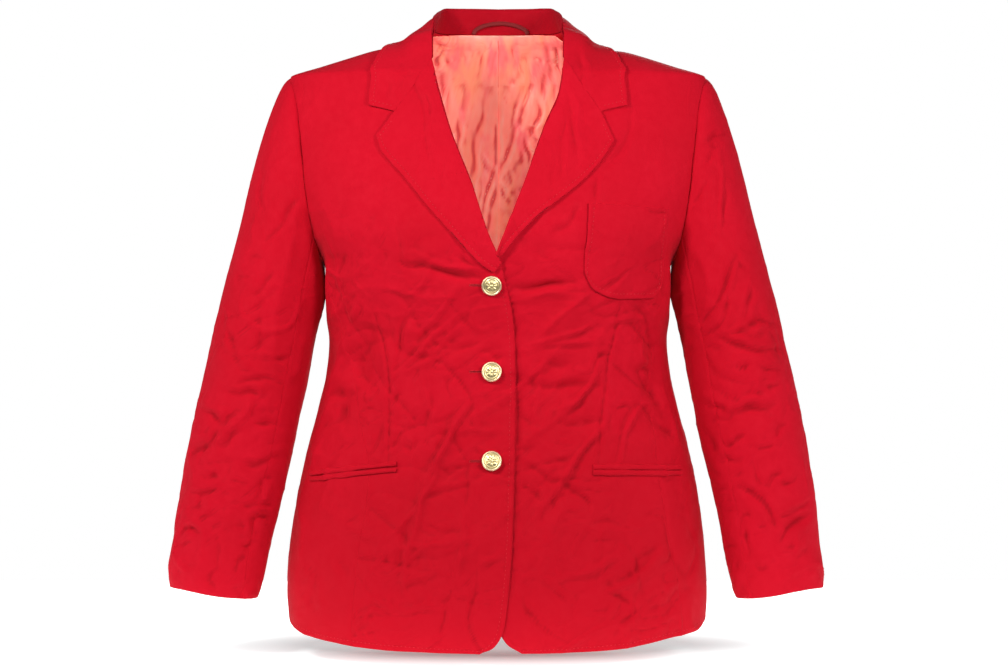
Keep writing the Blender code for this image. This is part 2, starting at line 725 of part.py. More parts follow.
def add_button(name, x, z, slot):
    angle = front_angle(x, z)
    foot = torso(angle, level_of(z))
    axis = torso_normal(angle, level_of(z))
    right = np.cross(axis, np.array([0.0, 0.0, 1.0]))
    right = right / np.linalg.norm(right)
    up = np.cross(right, axis)
    vertices = []
    for radius, height in BUTTON_PROFILE:
        for step in range(BUTTON_SEGMENTS):
            turn = 2 * math.pi * step / BUTTON_SEGMENTS
            spoke = right * math.cos(turn) + up * math.sin(turn)
            vertices.append(foot + axis * height + spoke * radius)
    back_centre = len(vertices)
    vertices.append(foot + axis * BUTTON_PROFILE[0][1])
    face_centre = len(vertices)
    vertices.append(foot + axis * BUTTON_TOP_HEIGHT)
    last = (len(BUTTON_PROFILE) - 1) * BUTTON_SEGMENTS
    faces = []
    for step in range(BUTTON_SEGMENTS):
        after = (step + 1) % BUTTON_SEGMENTS
        faces.append((back_centre, after, step))
        faces.append((face_centre, last + step, last + after))
        for ring in range(len(BUTTON_PROFILE) - 1):
            low = ring * BUTTON_SEGMENTS
            high = low + BUTTON_SEGMENTS
            faces.append((low + step, low + after, high + after, high + step))
    return add_object(name, vertices, faces, slot)


def add_hanger(name, slot):
    line = resampled(HANGER, HANGER_CELLS)
    neck = TORSO[TORSO[:, 0] == SLOPE_TOP_LEVEL][0]
    inside = 1 - (np.abs(line[:, 0]) / neck[1]) ** neck[4]
    y = neck[3] * inside ** (1 / neck[4]) - HANGER_INSET
    y = y - (line[:, 1] - line[0, 1]) * STAND_LEAN
    centre = np.stack([line[:, 0], y, line[:, 1]], axis=-1)
    along = np.gradient(centre, axis=0)
    along = along / np.linalg.norm(along, axis=-1, keepdims=True)
    wide = np.cross(along, np.array([0.0, 1.0, 0.0]))
    thick = np.cross(wide, along)
    vertices = []
    for index in range(len(centre)):
        for step in range(8):
            turn = 2 * math.pi * (step + 0.5) / 8
            across = wide[index] * math.cos(turn) * HANGER_WIDTH / 2
            through = thick[index] * math.sin(turn) * HANGER_THICKNESS / 2
            vertices.append(centre[index] + across + through)
    faces = [tuple(range(7, -1, -1))]
    final = (len(centre) - 1) * 8
    faces.append(tuple(range(final, final + 8)))
    for index in range(len(centre) - 1):
        for step in range(8):
            after = (step + 1) % 8
            low = index * 8
            high = low + 8
            faces.append((low + step, low + after, high + after, high + step))
    return add_object(name, vertices, faces, slot)


def collar_places():
    """Columns of the collar: the side, and the row of the collar tables."""
    last = 2 * (len(NECK_SEAM) - 1)
    right = [(-1, step / 2) for step in range(last, 0, -1)]
    return right + [(1, step / 2) for step in range(last + 1)]


def build_body(red, coral):
    stand = stand_grid(collar_places())
    pieces = {"collar_stand": (stand, grid_normals(stand))}
    for side, word in SIDES:
        roll = RIGHT_ROLL if side < 0 else LEFT_ROLL
        edge = RIGHT_FRONT_EDGE if side < 0 else LEFT_FRONT_EDGE
        seam = RIGHT_SIDE_SEAM if side < 0 else LEFT_SIDE_SEAM
        panels = {
            "_front": front_pairs_grid(side, edge, roll, seam),
            "_side_panel": side_pairs_grid(side, seam),
            "_back": back_pairs_grid(side),
        }
        for ending, pairs in panels.items():
            grid = torso(pairs[..., 0], pairs[..., 1])
            pieces[word + ending] = (grid, grid_normals(grid))
        tube = sleeve_tube(side)
        normals = closed_normals(tube) * side
        for ending, columns in (("_top_sleeve", TOP_COLUMNS), ("_under_sleeve", UNDER_COLUMNS)):
            grid = part_of_tube(tube, columns, side)
            pieces[word + ending] = (grid, part_of_tube(normals, columns, side).copy())
    share_seam_normals(pieces)
    foot = pieces["collar_stand"][1][0]
    between = foot[:-1:2] + foot[2::2]
    foot[1::2] = between / np.linalg.norm(between, axis=-1, keepdims=True)
    half = SEAM_GAP / 2
    for name, (grid, normals) in pieces.items():
        thickness = COLLAR_CLOTH if name == "collar_stand" else CLOTH
        if name == "left_front":
            grid = under_lap(grid)
        if name.endswith("sleeve"):
            thickness = SLEEVE_CLOTH
            side = -1 if name.startswith("right") else 1
            grid = grid.copy()
            inward = np.clip(-normals[0, :, 0] * side, 0.0, 1.0)
            grid[0, :, 0] += side * UNDERARM_GAP * inward
        foot_gap = STAND_GAP if name == "collar_stand" else half
        first = OPENING_GAP if name == "left_front" else half
        last = OPENING_GAP if name == "right_front" else half
        add_cloth(name, drawn_in(grid, foot_gap, half, first, last), normals, thickness, red)
    for side, word in SIDES:
        grid, normals = pieces[word + "_back"]
        inner = (grid - normals * (CLOTH + LINING_GAP))[LINING_ROWS]
        first = half if side < 0 else LINING_SHORT
        last = LINING_SHORT if side < 0 else half
        inner = drawn_in(inner, 0.0, LINING_SHORT, first, last)
        add_cloth(word + "_back_lining", inner, normals[LINING_ROWS], LINING_CLOTH, coral)
    return pieces


def build_collar(red):
    half = SEAM_GAP / 2
    grids = {
        "collar_leaf": leaf_grid(collar_places()),
        "right_lapel": lapel_grid(-1, RIGHT_ROLL, RIGHT_LAPEL_EDGE, RIGHT_LAPEL_TIP),
        "left_lapel": lapel_grid(1, LEFT_LAPEL_ROLL, LEFT_LAPEL_EDGE, LEFT_LAPEL_TIP),
    }
    pieces = {name: (grid, grid_normals(grid)) for name, grid in grids.items()}
    share_seam_normals(pieces)
    for name, (grid, normals) in pieces.items():
        thickness = COLLAR_CLOTH if name == "collar_leaf" else LAPEL_CLOTH
        top = half if name == "collar_leaf" else GORGE_GAP
        add_cloth(name, drawn_in(grid, half, top, half, half), normals, thickness, red)


def build_pockets(red, left_front):
    patch = patch_grid(left_front)
    add_cloth("breast_pocket", patch, grid_normals(patch), PATCH_CLOTH, red)
    high = SLIT_HALF + WELT_HEIGHT
    for side, word in SIDES:
        slit = RIGHT_SLIT if side < 0 else LEFT_SLIT
        for ending, low_edge, high_edge in (
            ("_upper_welt", SLIT_HALF, high),
            ("_lower_welt", -high, -SLIT_HALF),
        ):
            grid = welt_grid(slit, low_edge, high_edge, side)
            add_cloth(word + ending, grid, grid_normals(grid), WELT_CLOTH, red)


def build():
    for item in list(bpy.data.objects):
        bpy.data.objects.remove(item)
    red = material("red_suiting", RED, 0.0, 0.85)
    coral = material("coral_satin", CORAL, 0.0, 0.4)
    gold = material("gold_metal", GOLD, 1.0, 0.35)
    braid = material("dark_braid", BRAID, 0.0, 0.8)
    pieces = build_body(red, coral)
    build_collar(red)
    build_pockets(red, pieces["left_front"][0])
    for name, z in BUTTON_HEIGHTS.items():
        add_button(name, BUTTON_X, z, gold)
    add_hanger("hanger_loop", braid)


build()
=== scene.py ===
"""Looks of the blazer: each cut piece as a thin shell of cloth, with its folds, seams and stitches.

The tables are those of the CAD model, in millimetres and degrees; meshes are
written in metres.  +X is the wearer's left, -Y the front and +Z up.
"""
import math

import bpy
import mathutils
import numpy as np
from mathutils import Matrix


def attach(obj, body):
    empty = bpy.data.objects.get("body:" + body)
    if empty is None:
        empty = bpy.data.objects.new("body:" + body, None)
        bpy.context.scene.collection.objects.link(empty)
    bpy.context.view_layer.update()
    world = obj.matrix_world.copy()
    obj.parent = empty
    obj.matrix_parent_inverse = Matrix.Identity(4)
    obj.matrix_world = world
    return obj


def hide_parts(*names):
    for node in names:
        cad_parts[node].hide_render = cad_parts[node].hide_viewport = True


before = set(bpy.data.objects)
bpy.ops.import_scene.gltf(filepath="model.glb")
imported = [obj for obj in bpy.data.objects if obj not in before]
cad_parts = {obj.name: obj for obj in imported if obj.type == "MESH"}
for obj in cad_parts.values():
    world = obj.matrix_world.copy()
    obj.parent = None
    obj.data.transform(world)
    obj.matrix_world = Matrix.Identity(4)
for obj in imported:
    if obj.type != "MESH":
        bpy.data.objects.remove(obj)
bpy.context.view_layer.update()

BODY = "root"
MM = 0.001
SIDES = ((-1, "right"), (1, "left"))

# Thickness of each kind of cloth
CLOTH = 1.8
SLEEVE_CLOTH = 1.7
LAPEL_CLOTH = 2.2
COLLAR_CLOTH = 2.2
LINING_CLOTH = 0.8
WELT_CLOTH = 1.4
PATCH_CLOTH = 1.6

# Gap at a seam (pieces overlap slightly) and how round the edges of a shell are
HALF_GAP = -0.12
SEAM_ROUND = 0.55
FREE_ROUND = 0.85
FINE_ROUND = 0.3
WELT_ROUND = 0.4
PATCH_ROUND = 0.7

# Size of the cells of each kind of mesh, and cells along the smaller pieces
FRONT_CELL = 2.45
PANEL_CELL = 3.9
SLEEVE_CELL = 3.1
UNDER_SLEEVE_CELL = 3.6
LAPEL_CELL = 1.7
LINING_CELL = 1.7
LEAF_CELLS = 36
STAND_CELLS = 14
COLLAR_STEP = 0.06
PATCH_CELLS = 48
WELT_COLUMNS = 46
WELT_ROWS = 8
# Width from which the columns of a lapel are counted
LAPEL_WIDTH = 100

# Rows over which the lowest row is brought to the hem
HEM_BLEND_ROWS = 3.0
# How far each of the highest body rows of a side panel sags under the arm
FOOT_SAG = (0.0, 0.1, 0.4, 1.0)
# How deep the cloth draws in at hem and cuff, and from what height above them
HEM_TURN = (3.8, 44.0)
CUFF_TURN = (4.2, 32.0)

# Sleeve head: cells, how they crowd at the armhole, how fast it swells, how
# often and over which rows it is smoothed, its fullness, and how far that runs
# on towards the underside
HEAD_CELLS = 84
HEAD_CROWDING = 1.15
HEAD_ROUNDNESS = 0.045
HEAD_SMOOTHINGS = 60
HEAD_SMOOTH_ROWS = (4.0, 16.0)
HEAD_FULLNESS = 10.0
HEAD_UNDER = 0.35
# Places round the sleeve where its two pieces begin and end
TOP_SLEEVE = (12, 28)
UNDER_SLEEVE = (8, 12)
# Height at which the girth is taken, and the step that gives the axis its lean
GIRTH_AT = -300.0
AXIS_STEP = 8
# The head is sewn in just under the edge of the body, and is plain beside it
ARMHOLE_SINK = 0.9
ARMHOLE_LAP = 1.2
ARMHOLE_PLAIN = (2.0, 26.0)
ARMHOLE_SUNK = (3.5, 0.0)

# Edges of a grid in the order that gaps and rounds are given in; the section
# of a rounded edge as shares of its radius inwards and down, and whether a
# ring belongs to its lower half; and the most that an edge may be rounded
EDGES = ("bottom", "top", "first", "last")
EDGE_SECTION = ((0.3, 0.3, 0), (0.0, 1.0, 0), (0.0, 1.0, 1), (0.3, 0.3, 1))
WIDEST_ROUND = 9.0
# A pressed edge: how far inside it is stitched, and how it sinks and swells
STITCH_INSET = 6.0
STITCH_SINK = 0.3
GROOVE_WIDTH = 1.3
EDGE_PUFF = 0.35
PUFF_PLACE = 0.45
PUFF_WIDTH = 0.4

# Stitches: sides, section along one, then length, pitch and radius of the
# pick stitches, of the buttonholes' edges and of the painted shade in their slits, and how deep they lie
STITCH_SIDES = 5
STITCH_SECTION = (
    (0.0, 0.15, -0.6), (0.14, 0.75, 0.1), (0.5, 1.0, 0.5), (0.86, 0.75, 0.1), (1.0, 0.15, -0.6),
)
PICK_STITCH = (2.0, 4.6, 0.38, 0.1)
HOLE_STITCH = (0.85, 0.8, 0.48, 0.0)
SLIT_SHADE_CAPSULES = (2.6, 1.6, 0.42, 0.1)
# Buttonholes: x of both ends, half height, how far the bar lies beyond the end
# and its half length, points along and over, and how far off the cloth they lie
HOLE_X = (-30.0, -8.0)
HOLE_HALF = 0.95
HOLE_END = (0.4, 1.3)
HOLE_POINTS = (40, 8)
HOLE_LIFTS = (0.1, 0.15)
# Stitches are left out this far round the notch, and above the lapel's break
NOTCH_CLEAR = 3
BREAK_Z = -224

# Roll of the lapels and of the collar: cells, thickness at the far end, and
# for each the radius and how many degrees it turns
CURL_CELLS = 7
CURL_THIN = 0.9
LAPEL_CURL = (2.0, 160.0)
COLLAR_CURL = (1.6, 205)
ROLL_INSET = 1.8
# The fronts draw back by this much under the lapels, between two heights
ROLL_GAP = 1.7
ROLL_GAP_Z = (-200.0, -184.0)
# The fronts' edges are pressed below the lapels, between two heights
PRESSED_Z = (-225.0, -205.0)

# Collar: where the leaf starts beside its fold, how far its ends bend, and
# the point of the tables that lies at the side of the neck
LEAF_START_OUT = 2.8
LEAF_START_UP = -0.4
BEND_REACH = 2.0
NECK_POINT = 4
# How far the stand's ends spread and its top turns out under the fold, each
# between two heights of its top, the second from a least share
STAND_SPREAD = 1.6
STAND_SPREAD_Z = (52.0, 38.0)
STAND_REACH = 0.7
STAND_REACH_Z = (0.1, 44.0, 60.0)
# Fullness of the stand's relief, and the y behind which its folds lie
STAND_ARCH = 0.5
STAND_BEHIND = 20
# Gaps of the collar and of the lapels
STAND_GAPS = [0.4, 0.0, 0.0, 0.0]
LEAF_GAPS = [0.0, 0.0, -1.2, -1.2]
LAPEL_GAPS = [0.1, -0.8]
# Pushing the leaf off the figure: rounds, and the most that one may push
PUSHES = 4
LARGEST_PUSH = 6.0

# Back lining: first body row; height below which only one row in so many is
# kept, because nothing shows there; how far inside the back it lies; its slack;
# the square of the height at which it comes softly to rest; and its pleat at
# the centre back
LINING_FIRST_ROW = 9.0
FINE_LINING_FROM = -225.0
COARSE_ROWS = 4
LINING_GAP = 1.7
LINING_SLACK = 5.4
LINING_SOFTNESS = 1.5
PLEAT_RISE = 1.6
PLEAT_WIDTH = 14.0
# How crumpled the lining is above and how much more below, between two heights
LINING_CRUMPLE = (0.6, 0.5)
LINING_CRUMPLE_Z = (-20.0, -160.0)
# Gaps of the lining at its top, at the centre back and at the armhole
LINING_TOP_GAP = 1.2
LINING_SIDE_GAPS = [0.1, 2.0]

# Welts: how far and how fully they swell, and how deep they are sunk; then how
# far the breast pocket's mouth stands off, and from what distance
WELT_BULGE = 1.3
WELT_ROUNDNESS = 0.7
WELT_SUNK = 0.5
PATCH_MOUTH_LIFT = 0.8
PATCH_MOUTH = 26.0
# A welt's strip is cut at least this wide, its fold turned into the pocket
LEAST_CUT = 10.5

# Folds: how much deeper than the tables say they are on each part
BODY_FOLD_GAIN = 1.5
SLEEVE_FOLD_GAIN = 1.35
LINING_FOLD_GAIN = 2.0
# How pointed a crest is, how far it reaches, and between which distances it
# ends, as shares of the half width
FOLD_POINT = 0.3
FOLD_REACH = 0.8
FOLD_ENDS = (4, 2.6)
# Cells along a fold's line, and how the fold varies along it: taper; half
# width, depth and bends aside, each with how fast it changes by row and place
FOLD_CELLS = 10
FOLD_TAPER = (0.94, 0.03, 0.7)
FOLD_WIDTHS = (0.75, 0.4, 2.3, 4.0)
FOLD_UNEVEN = (0.22, 1.7, 7.0)
FOLD_BENDS = (0.25, 1.0, 9.0)
# The ridge beside a fold: its distance and half width
RIDGE_PLACE = 1.7
RIDGE_WIDTH = 1.1
# Darts: depth, half width, then height, place and width of the swell beside
# them, how much and how fast they pucker, and over what length they begin
DART_DEPTH = 1.3
DART_HALF_WIDTH = 1.5
DART_PUFF = (0.35, 4.5, 3.5)
DART_PUCKER = (0.25, 0.55)
DART_START = 12.0
DART_CELLS = 24
# How strong a dart is at its ends, and the share left beyond its last point
DART_END = 0.35
DART_BEYOND = 0.3
# Ripples: how many waves, and the range of their lengths
RIPPLE_WAVES = 9
RIPPLE_LENGTHS = (0.7, 1.5)
# Crinkles: how much longer than wide, how narrow their crests are, and where
# they break off: how much longer that ripple is, its seed and its range
CRINKLE_STRETCH = 2.4
CRINKLE_WIDTH = 0.22
CRINKLE_BREAKS = (2.3, 50)
CRINKLE_RANGE = (-0.4, 1.0)
# Folds belong to the side of a piece that faces their way by this much
BODY_FACING = (0.05, 0.4)
SLEEVE_FACING = (0.0, 0.45)
COLLAR_FACING = (0.0, 0.4)
# Looseness: the share that is left at chest height and where the cloth is seen
# edge on, each with the two values between which it grows, and behind
BODY_WORN = (0.2, -120.0, -230.0)
BODY_EDGE_ON = (0.35, 0.15, 0.6)
SLEEVE_WORN = (0.35, -180.0, -300.0)
SLEEVE_EDGE_ON = (0.4, 0.1, 0.6)
BEHIND_LOOSE = 0.6

# Ripples: height, wavelength and seed.  Crinkles: also the way they run
BODY_RIPPLES = ((0.9, 95.0, 3), (0.35, 42.0, 4))
SLEEVE_RIPPLES = ((0.8, 70.0, 11), (0.35, 30.0, 15))
LAPEL_RIPPLES = ((0.4, 60.0, 31),)
LEAF_RIPPLES = ((0.35, 70.0, 41),)
STAND_RIPPLES = ((0.3, 45.0, 51),)
LINING_RIPPLES = ((0.9, (2.2, 1.0, 0.8), 34.0, 21), (0.45, (2.4, 1.0, 1.0), 15.0, 22))
BODY_CRINKLES = (
    (3.2, 62.0, 61, 24.0), (-2.6, 52.0, 62, -28.0), (2.2, 34.0, 63, 62.0),
    (-1.6, 28.0, 64, 8.0), (1.2, 24.0, 66, 35.0), (0.8, 18.0, 65, -20.0),
)
LINING_CRINKLES = (
    (-2.6, 34.0, 23, 62.0), (-1.8, 24.0, 24, 118.0), (-1.2, 15.0, 25, 75.0), (1.0, 13.0, 26, 20.0),
)
SLEEVE_CRINKLES = (
    (2.6, 50.0, 71, 18.0), (-2.0, 40.0, 75, -24.0), (1.5, 27.0, 79, 42.0), (-1.0, 20.0, 83, 4.0),
)

# Small moves that bring the outline onto the photo's, in mm:
# x and z of the middle, how far it reaches in x and z, and the move in x and z
FIT_MOVES = (
    (-106, 48, 21, 42, 0, -6), (112, 48, 21, 42, 0, -8), (-77, 62, 9, 22, 0, 3), (77, 62, 9, 22, 0, 3.5),
    (-355, -580, 36, 45, 0, 6), (350, -580, 36, 45, 0, 6), (318, -545, 60, 75, -8, 0),
    (262, -95, 34, 75, 2.5, 0), (-262, -95, 34, 75, -3.5, 0), (185, -234, 8, 38, 5.4, 0),
    (197, -234, 8, 38, -6.8, 0), (-186, -238, 8, 38, -5.2, 0), (-197, -238, 8, 38, 7, 0),
    (190, -634, 36, 30, 0, 3.5), (0, -632, 12, 14, 0, -4), (-93, 40, 11, 17, -2.5, 3),
    (93, 40, 11, 17, 2.5, 3), (-290, -590, 45, 40, 3, 0), (-232, -560, 20, 60, -2, 0),
)

# Buttons: profile from the back of the shank to where the face begins, as
# radius and height above the cloth; then the cells of both and the face's dome
BUTTON_PROFILE = np.array([
    (0.2, 0.3), (3.0, 0.3), (3.0, 2.2), (6.0, 2.35), (8.6, 2.6), (10.1, 3.0), (10.7, 3.6),
    (10.9, 4.2), (10.7, 4.9), (10.2, 5.4), (9.6, 5.6), (9.0, 5.35), (8.6, 4.95),
])
BUTTON_SEGMENTS = 120
PROFILE_CELLS = 40
FACE_RADIUS = 8.6
FACE_RINGS = 30
FACE_HOLE = 0.05
FACE_EDGE_HEIGHT = 4.9
FACE_RISE = 1.0
# Height, middle and width of the bead ring and of the roped rim, the height
# from which the rim is roped, its strands and how they twist
FACE_BEAD = (0.45, 7.2, 0.38)
RIM_ROPE = (0.16, 9.9, 0.8)
RIM_FROM = 4.0
RIM_STRANDS = 36
RIM_TWIST = 3.0
# Petals: how many, how high, where they begin, how long and how full; their
# veins' depth and sharpness; the height and radius of the middle
PETALS = 8
PETAL = (0.6, 1.0, 5.4, 0.7)
VEIN = (0.16, 6)
FACE_MIDDLE = (0.75, 1.55)

# Braid of the hanger: rings, sides, pitch, how uneven its plait is in
# thickness and beside that in width, how much it slants, and how thick it is
HANGER_RINGS = 150
HANGER_SIDES = 16
BRAID_PITCH = 2.4
BRAID_PLAIT = 0.16
BRAID_WIDENS = 0.25
BRAID_SLANT = 2.64
BRAID_SWELL = 1.15

# Colours, linear
RED = (0.585, 0.0025, 0.0175, 1.0)
# Deeper red: the cloth's uneven tone, and also its painted shade at the skirt and in hollows
DEEP_RED = (0.46, 0.0015, 0.0105, 1.0)
# Darker reds of the collar stand: painted shade under the collar that rolls over it
STAND_SHADE_RED = (0.43, 0.0015, 0.0115, 1.0)
DEEP_STAND_SHADE_RED = (0.33, 0.001, 0.008, 1.0)
THREAD_RED = (0.66, 0.02, 0.034, 1.0)
# Painted shade in the buttonholes' slits
SLIT_SHADE_RED = (0.28, 0.006, 0.012, 1.0)
BLOOM_RED = (1.0, 0.32, 0.36, 1.0)
CORAL = (0.99, 0.285, 0.215, 1.0)
# Painted highlight on the lining's ridges
CORAL_RIDGE_HIGHLIGHT = (1.0, 0.42, 0.31, 1.0)
# Painted shade of the lining: in its creases and under the stand
CORAL_SHADE = (0.6, 0.045, 0.05, 1.0)
CORAL_PINK = (0.99, 0.15, 0.17, 1.0)
CORAL_ORANGE = (0.95, 0.30, 0.165, 1.0)
CORAL_BLOOM = (1.0, 0.6, 0.5, 1.0)
GOLD = (0.98, 0.80, 0.52, 1.0)
PALE_GOLD = (0.90, 0.77, 0.40, 1.0)
DARK_GOLD = (0.46, 0.30, 0.10, 1.0)
BRAID = (0.22, 0.012, 0.014, 1.0)
FLOOR_WHITE = (0.76, 0.93, 0.93, 1.0)
WHITE = (1.0, 1.0, 1.0, 1.0)
DEEPER = 0.6

# Finishes.  Metres: painted shade darkens the cloth the nearer it lies to the foot of the
# body, and it is more creased below the chest; the lining has painted shade under the stand
WEAVE_SCALE = 10.0
WEAVE_UV = "weave"
SKIRT_SHADE_MIDDLE = (0.0, -0.08, -0.63)
SKIRT_SHADE_REACH = (0.19, 0.34)
CREASED_FROM = (-0.2, -0.32)
CREASE_STRENGTH = 0.55
CREASE_DEPTH = 0.0016
LINING_SHADE = (0.044, 0.06)
# Pointiness between which a hollow gets painted shade, in the suiting
HOLLOW_SHADE = (0.43, 0.497)
# Painted glow of the satin, which lights it though it is no lamp, and the lean of its pulls in radians
SATIN_PAINTED_GLOW = 0.4
SATIN_LEAN = 0.4

# Camera and stage, metres
CAMERA_AT = (0.0067, -3.0, -0.290)
CAMERA_LENS = 95.7
SENSOR_WIDTH = 36.0
FLOOR_Z = -0.647
FLOOR_CORNERS = ((-1.5, -0.22), (1.5, -0.22), (1.5, 0.9), (-1.5, 0.9))
# The floor glows less near the blazer: a painted shadow, added to its real shadow there
FLOOR_GLOW_WITH_SHADOW = (0.2, 0.93)
FLOOR_SHADOW_REACH = (0.2, 0.36)
FLOOR_SHADOW_MIDDLE = (0.0, 0.1, 0.0)
FLOOR_SHADOW_SCALE = (0.9, 1.9, 1.0)
SKY_LIGHT = 0.1
# Lights: name, place, what it points at, size, power and colour
LIGHTS = (
    ("key", (-0.8, -1.2, 0.42), (0.0, 0.0, -0.22), 0.35, 14.7, (1.0, 0.99, 0.98)),
    ("fill", (0.8, -1.2, 0.1), (0.0, 0.0, -0.14), 0.4, 10.4, (1.0, 0.99, 0.98)),
    ("left", (-2.2, -0.9, 0.45), (0.0, 0.0, -0.2), 0.9, 14.6, (1.0, 1.0, 1.0)),
    ("right", (2.2, -0.9, 0.45), (0.0, 0.0, -0.2), 0.9, 9.2, (1.0, 1.0, 1.0)),
    ("front", (0.3, -3.3, 0.0), (0.0, 0.0, -0.2), 0.6, 18.5, (1.0, 1.0, 1.0)),
    ("back", (0.6, 3.2, 0.7), (0.0, 0.0, -0.25), 1.4, 75.0, (1.0, 1.0, 1.0)),
)

# Levels run up the torso.  Below the shoulder a level is the height itself;
# over the shoulder it follows the slope, so that it never bunches up there.
SLOPE_TOP_LEVEL = 167.0
SLOPE_TOP_Z = 50.0

# level, half width at the side, depth in front, depth behind, squareness
TORSO = np.array([
    (-680, 238, 137, 132, 2.2), (-600, 236, 136, 131, 2.2), (-575, 235, 135, 130, 2.2),
    (-530, 232, 133, 128, 2.2), (-493, 228, 130, 125, 2.2), (-455, 221.5, 127, 120, 2.2),
    (-414, 212, 123, 113, 2.2), (-365, 199.5, 118, 103, 2.2), (-335, 192.5, 116, 98, 2.2),
    (-293, 188.5, 116, 97, 2.2), (-258, 194.5, 122, 102, 2.2), (-230, 195.5, 129, 107, 2.2),
    (-215, 197, 132, 109, 2.2), (-205, 199, 133.5, 111, 2.2), (-196, 204, 134.5, 112, 2.2),
    (-178, 214.5, 135, 114, 2.2), (-152, 223.5, 131, 115, 2.2), (-126, 232, 123, 114.5, 2.2),
    (-100, 238, 113, 112, 2.2), (-75, 243.5, 101.5, 109, 2.2), (-51, 245, 92, 104, 2.2),
    (-29, 242, 84, 98, 2.2), (-10, 235, 78, 93, 2.2), (0, 231, 75, 90, 2.2), (33.4, 199, 69, 85, 2.2),
    (66.8, 167, 64, 80, 2.2), (100.2, 135, 60, 75, 2.25), (133.6, 104, 55, 69, 2.35),
    (167, 72, 50, 62, 2.6), (200, 66, 47, 60, 2.7),
])

# angle round the torso from the front, height of the hem there
HEM = np.array([
    (0, -631), (25, -629), (54, -621), (65, -616.5), (90, -604), (130, -601), (180, -600),
])

# Rows of the body pieces from the hem up to the foot of the armhole:
# height at the side seams, height at the centre back
BODY_ROWS = np.array([
    (-612, -600), (-602, -590), (-588, -575), (-560, -546), (-528, -514), (-496, -482), (-464, -450),
    (-432, -418), (-400, -386), (-367, -354), (-333, -322), (-299, -288), (-262, -252), (-220, -212),
    (-178, -170),
], dtype=float)
# Levels of the centre back above those rows
CENTRE_BACK_LEVELS = (-114, -58, 0)

# From here on -1 is the wearer's right and 1 the left.
# x and z of the front edges, one point per body row
FRONT_EDGE = {
    -1: np.array([
        (-20, -631), (-3, -620.5), (6, -605), (11, -572), (14, -538), (16, -504), (17, -470), (18, -436),
        (18.5, -402), (19, -368), (19.3, -334), (18.5, -300), (15.5, -266), (9, -238), (3, -212),
    ]),
    1: np.array([
        (26, -629.5), (10, -619), (0, -604), (-9, -572), (-14, -538), (-17, -504), (-18, -470), (-19, -436),
        (-19, -402), (-19, -368), (-19, -334), (-18, -300), (-14, -266), (-8, -238), (-1.5, -210),
    ]),
}
# x and z of the lines where the lapels turn over, upwards to the gorge
ROLL = {
    -1: np.array([(3, -212), (-13.9, -174), (-29, -126.6), (-50, -71), (-63, -23.4), (-71, 13.5)]),
    1: np.array([(3, -210), (12, -166), (28, -124), (50, -62), (66, -23), (73, 13.5)]),
}
# z and x of the seams between the fronts and the side panels
SIDE_SEAM = {
    -1: np.array([
        (-640, -161), (-558, -154.5), (-529, -152), (-507, -147.5), (-471, -143), (-442, -140),
        (-410, -143), (-393, -149.8), (-361, -154), (-329, -161), (-302, -167.5), (-275, -173),
        (-235, -185), (-178, -203.17),
    ]),
    1: np.array([
        (-640, 206), (-580, 200), (-524, 190), (-484, 181), (-444, 175), (-380, 171), (-300, 175),
        (-235, 186), (-178, 203.17),
    ]),
}
# angle of the seams between the side panels and the backs, by height
BACK_SIDE_SEAM = np.array([(-640, 121), (-400, 124), (-300, 126), (-178, 113.77)])

# y and z round the armhole, seen from the side
ARMHOLE_FRONT = np.array([
    (-50, -178), (-56, -152), (-57.5, -126), (-56, -100), (-52, -75), (-46, -51), (-37, -29),
    (-22, -10), (0, 0),
])
ARMHOLE_UNDER = np.array([(-50, -178), (-32, -196), (0, -205), (32, -196), (50, -178)])
ARMHOLE_BACK = np.array([
    (50, -178), (57, -152), (58.5, -126), (57, -100), (53, -75), (47, -50), (37, -28), (22, -9.5),
    (0, 0),
])
# angle round the sleeve that each armhole point runs into, from the top over the front
SLEEVE_ANGLES = (
    0, 14, 30, 46, 63, 80, 97, 114, 130, 155, 180, 205, 230, 246, 263, 280, 297, 314, 330, 346, 360,
)

# Sleeve below its head: z, x, y of the axis, half width, half depth
SLEEVE = np.array([
    (-258, 255, -6, 56, 60), (-317, 266, -10, 57, 58.5), (-360, 275, -14, 57.5, 55.5),
    (-404, 284, -19, 58, 51.5), (-468, 297, -27, 56, 45), (-540, 310, -35, 53, 38.5),
    (-576, 315.5, -38, 52, 36),
])

# Neck seam, from the centre back round to the gorge: angle, level
NECK_SEAM = np.array([
    (180, 170), (152, 170), (128, 169), (108, 168), (90, 167), (60, 155), (35, 115), (20.2, 45),
])
# Fold of the collar above each of those points: x, y, z
COLLAR_FOLD = np.array([
    (0, 60, 81), (38, 57, 81.5), (57, 46, 80.5), (64.5, 27, 74), (67.5, 0, 64), (70.5, -27, 50.5),
    (72, -44, 37.5), (71.5, -61.5, 17),
])
# Outer edge of the collar at the same points: x, z
COLLAR_EDGE = np.array([
    (0, 20), (52, 21), (84, 25.5), (106, 31.5), (116.5, 35.8), (127, 26.7), (138.5, -4), (140.5, -38),
])
